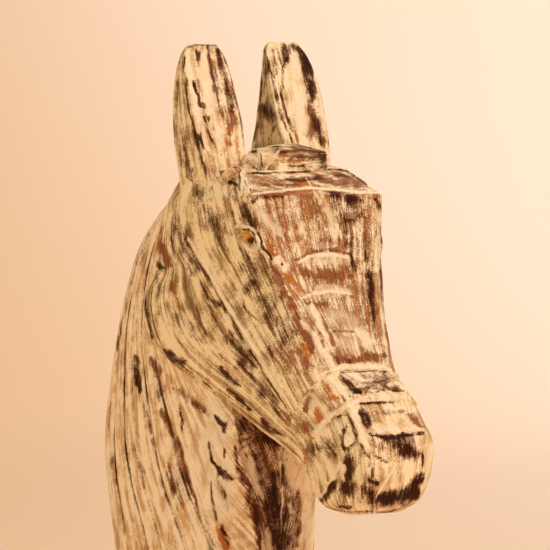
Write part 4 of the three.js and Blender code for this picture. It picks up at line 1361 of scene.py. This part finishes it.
def lay_grain(mesh):
    """Turns the grain across the head on the shelf, on the lumps at the poll and on the noseband's front."""
    counts = corner_counts(mesh)
    normal = np.repeat(read(mesh.polygons, "normal", 3), counts, axis=0)
    kind = np.repeat(face_regions(mesh), counts)
    at = vertex_values(mesh)[0][read(mesh.loops, "vertex_index", kind=np.int32)]
    across = (kind == TUFT) | ((kind == HEAD) & (normal[:, 2] > LOOKS_UP) & (at[:, 2] > SHELF_UP))
    across |= (kind == BAND) & (normal[:, 1] < LOOKS_FORWARD)
    layer = mesh.uv_layers["flow"].data
    flow = read(layer, "uv", 2)
    laid = np.stack([at[:, 2] - 0.8 * at[:, 1], at[:, 0] + 0.25 * at[:, 1]], 1)
    flow[across] = laid[across]
    layer.foreach_set("uv", flow.ravel())


def carve_lines(mesh):
    """Moves the surface in or out along the carved lines."""
    co, normal = vertex_values(mesh)
    x, y = seen_places(co, normal)
    raised = np.zeros(len(co))
    for half_width, height, places in CARVED_LINES.values():
        raised += height * line_level(x, y, places, half_width) ** 1.5
    co += normal * (raised * MM)[:, None]
    move_vertices(mesh, co)


def write_colour(mesh, name, red, green, blue):
    """Stores three levels for each vertex as a colour attribute."""
    layer = mesh.color_attributes.new(name=name, type="FLOAT_COLOR", domain="POINT")
    values = np.stack([red, green, blue, np.ones(len(red))], 1).astype(np.float32)
    layer.data.foreach_set("color", values.ravel())


FULLNESS = 1.22  # above 1, so that a stroke is full over some width in its middle
UNEVENNESS = 0.16  # and its strength varies by this share
LEAST_WIDTH = 1.2


def paint_marks(mesh):
    """Stores how strong the dark, rust, white and orange marks are at each vertex."""
    co, normal = vertex_values(mesh)
    x, y = seen_places(co, normal)
    region = vertex_regions(mesh)
    levels = {kind: np.zeros(len(co)) for kind in (DARK, RUST, WHITE, ORANGE)}
    # The strokes stray from their lines and vary along them, by smooth noise over the picture.
    stray_x = 1.7 * wander(x / 5.5, y / 8, 31) + 0.9 * wander(x / 2.1, y / 3.3, 32)
    stray_y = 1.5 * wander(x / 6, y / 6, 33) + 0.9 * wander(x / 2.3, y / 2.3, 34)
    uneven = 1 + UNEVENNESS * wander(x / 4.5, y / 7, 35)
    for place, marks in MARKS.items():
        own = np.flatnonzero(region == place)
        for kind, half_width, strength, places in marks.values():
            stray = min(1.0, max(0.15, half_width / 3 - 0.1))
            at_x, at_y = x[own] + stray * stray_x[own], y[own] + stray * stray_y[own]
            level = line_level(at_x, at_y, places, max(half_width, LEAST_WIDTH))
            level = strength * np.minimum(1.0, FULLNESS * level) * uneven[own]
            levels[kind][own] = np.maximum(levels[kind][own], level)
    write_colour(mesh, "marks", levels[DARK], levels[RUST], levels[WHITE])
    nothing = np.zeros(len(co))
    write_colour(mesh, "marks_more", levels[ORANGE], nothing, nothing)


# How well the paint covers each region and how red the wood under it is, in the order of the regions.
PAINT_COVER = np.array([0.69, 0.64, 0.73, 0.87, 0.60, 0.60])
WOOD_RED = np.array([0.15, 0.45, 0.4, 0.6, 0.15, 0.9])
LESS_PAINT = {HEAD: 0.31, BAND: 0.12, EARS: -0.06}  # on the faces that look forward
SHELF_LESS_PAINT = 0.17


def paint_tone(mesh):
    """Stores each vertex's tone: how well the paint covers, how red the wood is, and the side's shade."""
    co, normal = vertex_values(mesh)
    region = vertex_regions(mesh)
    front = np.clip(-normal[:, 1] * 1.6 - 0.35, 0, 1)
    top = np.clip(normal[:, 2] * 2 - 0.8, 0, 1)
    shelf = np.where((region == HEAD) & (co[:, 2] > SHELF_UP), top, 0)
    cover = PAINT_COVER[region] - SHELF_LESS_PAINT * shelf
    for place, less in LESS_PAINT.items():
        cover = cover - np.where(region == place, less * front, 0)
    chin_red = 0.35 * np.clip((0.30 - co[:, 2]) / 0.06, 0, 1)
    red = WOOD_RED[region] + np.where(region == HEAD, chin_red, 0)
    for place, least in ((HEAD, front), (HEAD, 0.75 * shelf), (EARS, 0.55 * front)):
        red = np.maximum(red, np.where(region == place, least, 0))
    side = np.clip(np.abs(normal[:, 0]) * 1.5 - 0.4, 0, 1)
    side = np.where(region == NECK, 0.15 * side, side)
    write_colour(mesh, "tone", cover, red, side)


def whitewashed_wood():
    """Brown wood under a dry, streaky coat of cream whitewash, with dark stain left in the cuts and painted
    shade in them.
    """
    n = Nodes("whitewashed_wood")
    flow = n.add("ShaderNodeUVMap", 0, uv_map="flow")
    cut = n.add("ShaderNodeSeparateXYZ", 0, {0: n.add("ShaderNodeUVMap", 0, uv_map="cut")})
    spot = n.add("ShaderNodeTexCoord", "Object")
    dark, rust, white = n.channels("marks")
    cover, warm, side = n.channels("tone")
    orange = n.channels("marks_more")[0]

    fibre = n.noise(n.scaled(flow, (1300, 90, 1)), 1.0, 3, 0.65)
    streak = n.noise(n.scaled(flow, (420, 34, 1)), 1.0, 3, 0.65, 0.2)
    dash = n.noise(n.scaled(flow, (170, 17, 1)), 1.0, 3, 0.6, 0.4)
    smear = n.noise(n.scaled(flow, (60, 9, 1)), 1.0, 3, 0.55, 0.6)
    speck = n.noise(spot, 800, 3, 0.8)
    patch = n.noise(spot, 60, 4, 0.62)
    drift = n.noise(spot, 16, 3, 0.5)

    # Dry brushing: where the coat is thin the grain's fine lines and specks of wood come through it.
    grain = n.sum(n.around(fibre, 1.1), n.around(streak, 0.9), n.around(speck, 1.0))
    dashes = n.times(n.around(dash, 1.5), n.step(warm, 0.3, 1.0, 1.0, 0.35))
    bare = n.step(n.sum(n.rest(cover), grain, dashes, n.around(patch, 1.0)), 0.36, 0.86)
    # Old stain that shows through on the sides as soft grey-brown dashes along the grain.
    soiled = n.sum(n.around(dash, 2.6), n.around(smear, 1.8), n.around(patch, 1.2), n.times(grain, 0.7),
                   n.times(side, 0.10), n.around(speck, 0.9))
    soiled = n.step(soiled, -0.06, 0.8)
    # The marks, frayed at their edges by the same grain. The dark marks are stains and also the painted
    # shadows and painted shade; the white marks are thick paint and also the painted highlights.
    ragged = n.sum(n.around(streak, 1.3), n.around(fibre, 0.7), n.around(speck, 1.1), n.around(patch, 1.1))
    frayed = n.times(ragged, 1.25)
    stain_and_shade = n.step(n.sum(dark, frayed), 0.24, 0.9)
    rusty = n.step(n.sum(rust, frayed), 0.26, 0.84)
    thick = n.step(n.sum(white, n.times(ragged, 1.15)), 0.34, 0.66)
    thick = n.times(thick, n.step(n.math("SUBTRACT", dark, white), -0.02, 0.2, 1.0, 0.0))
    glow = n.step(n.sum(orange, ragged), 0.3, 0.74)
    # Stain that was left in the cuts, and painted shade in them: the deeper the cut, the darker.
    trench = n.sum(n.times(cut, 0.86), n.around(fibre, 0.9), n.around(patch, 1.6), n.around(drift, 1.4))
    trench = n.times(n.step(trench, 0.4, 1.2), n.step(drift, 0.4, 0.6, 0.45, 1.0))

    dark_wood = n.blend(fibre, 0.35, 0.65, linear(34, 12, 1), linear(70, 30, 6))
    red_fibre = n.sum(fibre, n.around(dash, 1.0))
    rust_wood = n.blend(red_fibre, 0.3, 0.7, linear(106, 50, 16), linear(164, 94, 46))
    grey_wood = n.blend(fibre, 0.3, 0.7, linear(97, 69, 33), linear(142, 110, 65))
    bare_wood = n.blend(n.sum(warm, n.around(drift, 0.6)), 0.3, 0.7, grey_wood, rust_wood)
    edge_wood = n.blend(warm, 0.2, 0.8, grey_wood, rust_wood)
    orange_wood = n.blend(patch, 0.35, 0.65, linear(164, 82, 24), linear(202, 114, 40))

    light_paint = n.mix(side, linear(254, 230, 192), linear(250, 224, 178))
    thin_paint = n.mix(side, linear(230, 188, 136), linear(212, 178, 126))
    thin_paint = n.mix(n.step(warm, 0.4, 1.0, 0.0, 0.85), thin_paint, linear(212, 158, 104))
    thinness = n.sum(patch, n.around(dash, 1.2), n.around(speck, 0.8))
    paint = n.blend(thinness, 0.38, 0.66, light_paint, thin_paint)
    worn = n.sum(streak, n.around(patch, 1.6), n.around(speck, 1.2))
    # The white marks' colour, for thick paint and also for the painted highlights.
    white_paint_and_highlight = n.blend(worn, 0.5, 0.8, linear(255, 233, 200), linear(234, 194, 146))
    # The dark marks' colour, which paints the stains and also the painted shadows and painted shade.
    stain_core = n.step(n.sum(dark, n.around(patch, 1.5), n.around(streak, 1.1)), 0.5, 1.15)
    stain_edge = n.mix(side, linear(116, 60, 22), linear(104, 66, 30))
    stain = n.mix(n.times(stain_core, n.step(side, 0.0, 1.0, 1.0, 0.82)), stain_edge, dark_wood)

    # The layers, from the coat of paint up.
    colour = n.mix(n.times(soiled, n.step(side, 0.0, 1.0, 0.36, 0.78)), paint, edge_wood)
    colour = n.mix(bare, colour, bare_wood)
    colour = n.mix(n.times(rusty, 0.92), colour, rust_wood)
    colour = n.mix(n.times(glow, 0.95), colour, orange_wood)
    colour = n.mix(trench, colour, dark_wood)
    colour = n.mix(stain_and_shade, colour, stain)
    colour = n.mix(n.times(thick, 0.95), colour, white_paint_and_highlight)
    n.wire(n.shader.inputs["Base Color"], colour)

    coat = n.rest(n.math("MAXIMUM", bare, n.math("MAXIMUM", stain_and_shade, rusty)))
    coat = n.math("MAXIMUM", coat, thick)
    n.wire(n.shader.inputs["Roughness"], n.step(coat, 0.0, 1.0, 0.45, 0.7))
    n.shader.inputs["Specular IOR Level"].default_value = 0.07
    height = n.sum(n.times(coat, 0.3), n.times(thick, 0.5), n.times(fibre, 0.3), n.times(streak, 0.5),
                   n.times(speck, 0.1))
    bump = n.add("ShaderNodeBump", 0, {"Height": height})
    bump.node.inputs["Strength"].default_value = 0.6
    bump.node.inputs["Distance"].default_value = 0.0008
    n.wire(n.shader.inputs["Normal"], bump)
    return n.material


def amber_bead():
    """Clouded golden glass, with a brown pupil off its middle, toward the nose and down."""
    pupil_forward, pupil_up = 6.3, -3.9  # from the bead's middle
    n = Nodes("amber_bead")
    place = n.add("ShaderNodeTexCoord", "Object")
    parts = n.add("ShaderNodeSeparateXYZ", 0, {0: place}).node.outputs
    ahead = n.sum(n.times(parts[1], -1 / MM), -EYE_FORWARD, -pupil_forward)
    rise = n.sum(n.times(parts[2], 1 / MM), -EYE_UP, -pupil_up)
    off = n.math("SQRT", n.sum(n.math("POWER", ahead, 2.0), n.math("POWER", rise, 2.0)))
    cloud = n.noise(place, 420, 3, 0.6)
    gold = n.blend(cloud, 0.35, 0.65, linear(232, 170, 52), linear(190, 120, 22))
    colour = n.blend(n.sum(off, n.around(cloud, 1.6)), 2.0, 4.6, linear(66, 22, 2), gold)
    n.wire(n.shader.inputs["Base Color"], colour)
    n.wire(n.shader.inputs["Roughness"], n.step(cloud, 0.3, 0.7, 0.08, 0.2))
    n.shader.inputs["Coat Weight"].default_value = 0.25
    n.shader.inputs["Specular IOR Level"].default_value = 0.25
    n.shader.inputs["Coat Roughness"].default_value = 0.05
    return n.material


carving = unite([
    head_loft(), neck_loft(), band_loft(), muzzle_loft(),
    set_ear(ear_loft(NEAR), -1.9, -0.6), set_ear(ear_loft(FAR), 1.5, -2.8, 3.3),
    lump("forelock", FORELOCK, 1.6), lump("roll", ROLL, 3.0), lump("far rise", FAR_RISE, 1.2, HEAD),
], "carving")
refine_eyes(carving.data)
refine_poll(carving.data)
carving.data.shade_smooth()
for shape_or_paint in (lay_grain, carve_lines, carve_eyes, paint_marks, paint_tone):
    shape_or_paint(carving.data)
carving.data.materials.clear()
carving.data.materials.append(whitewashed_wood())
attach(carving, "root")
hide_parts("horse_head")

eye_glass = amber_bead()
for side, name in ((NEAR, "right_eye"), (FAR, "left_eye")):
    eye = bead(side, name + "_bead")
    eye.data.materials.append(eye_glass)
    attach(eye, "root")
    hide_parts(name)

add_camera()
backdrop()
light_scene()
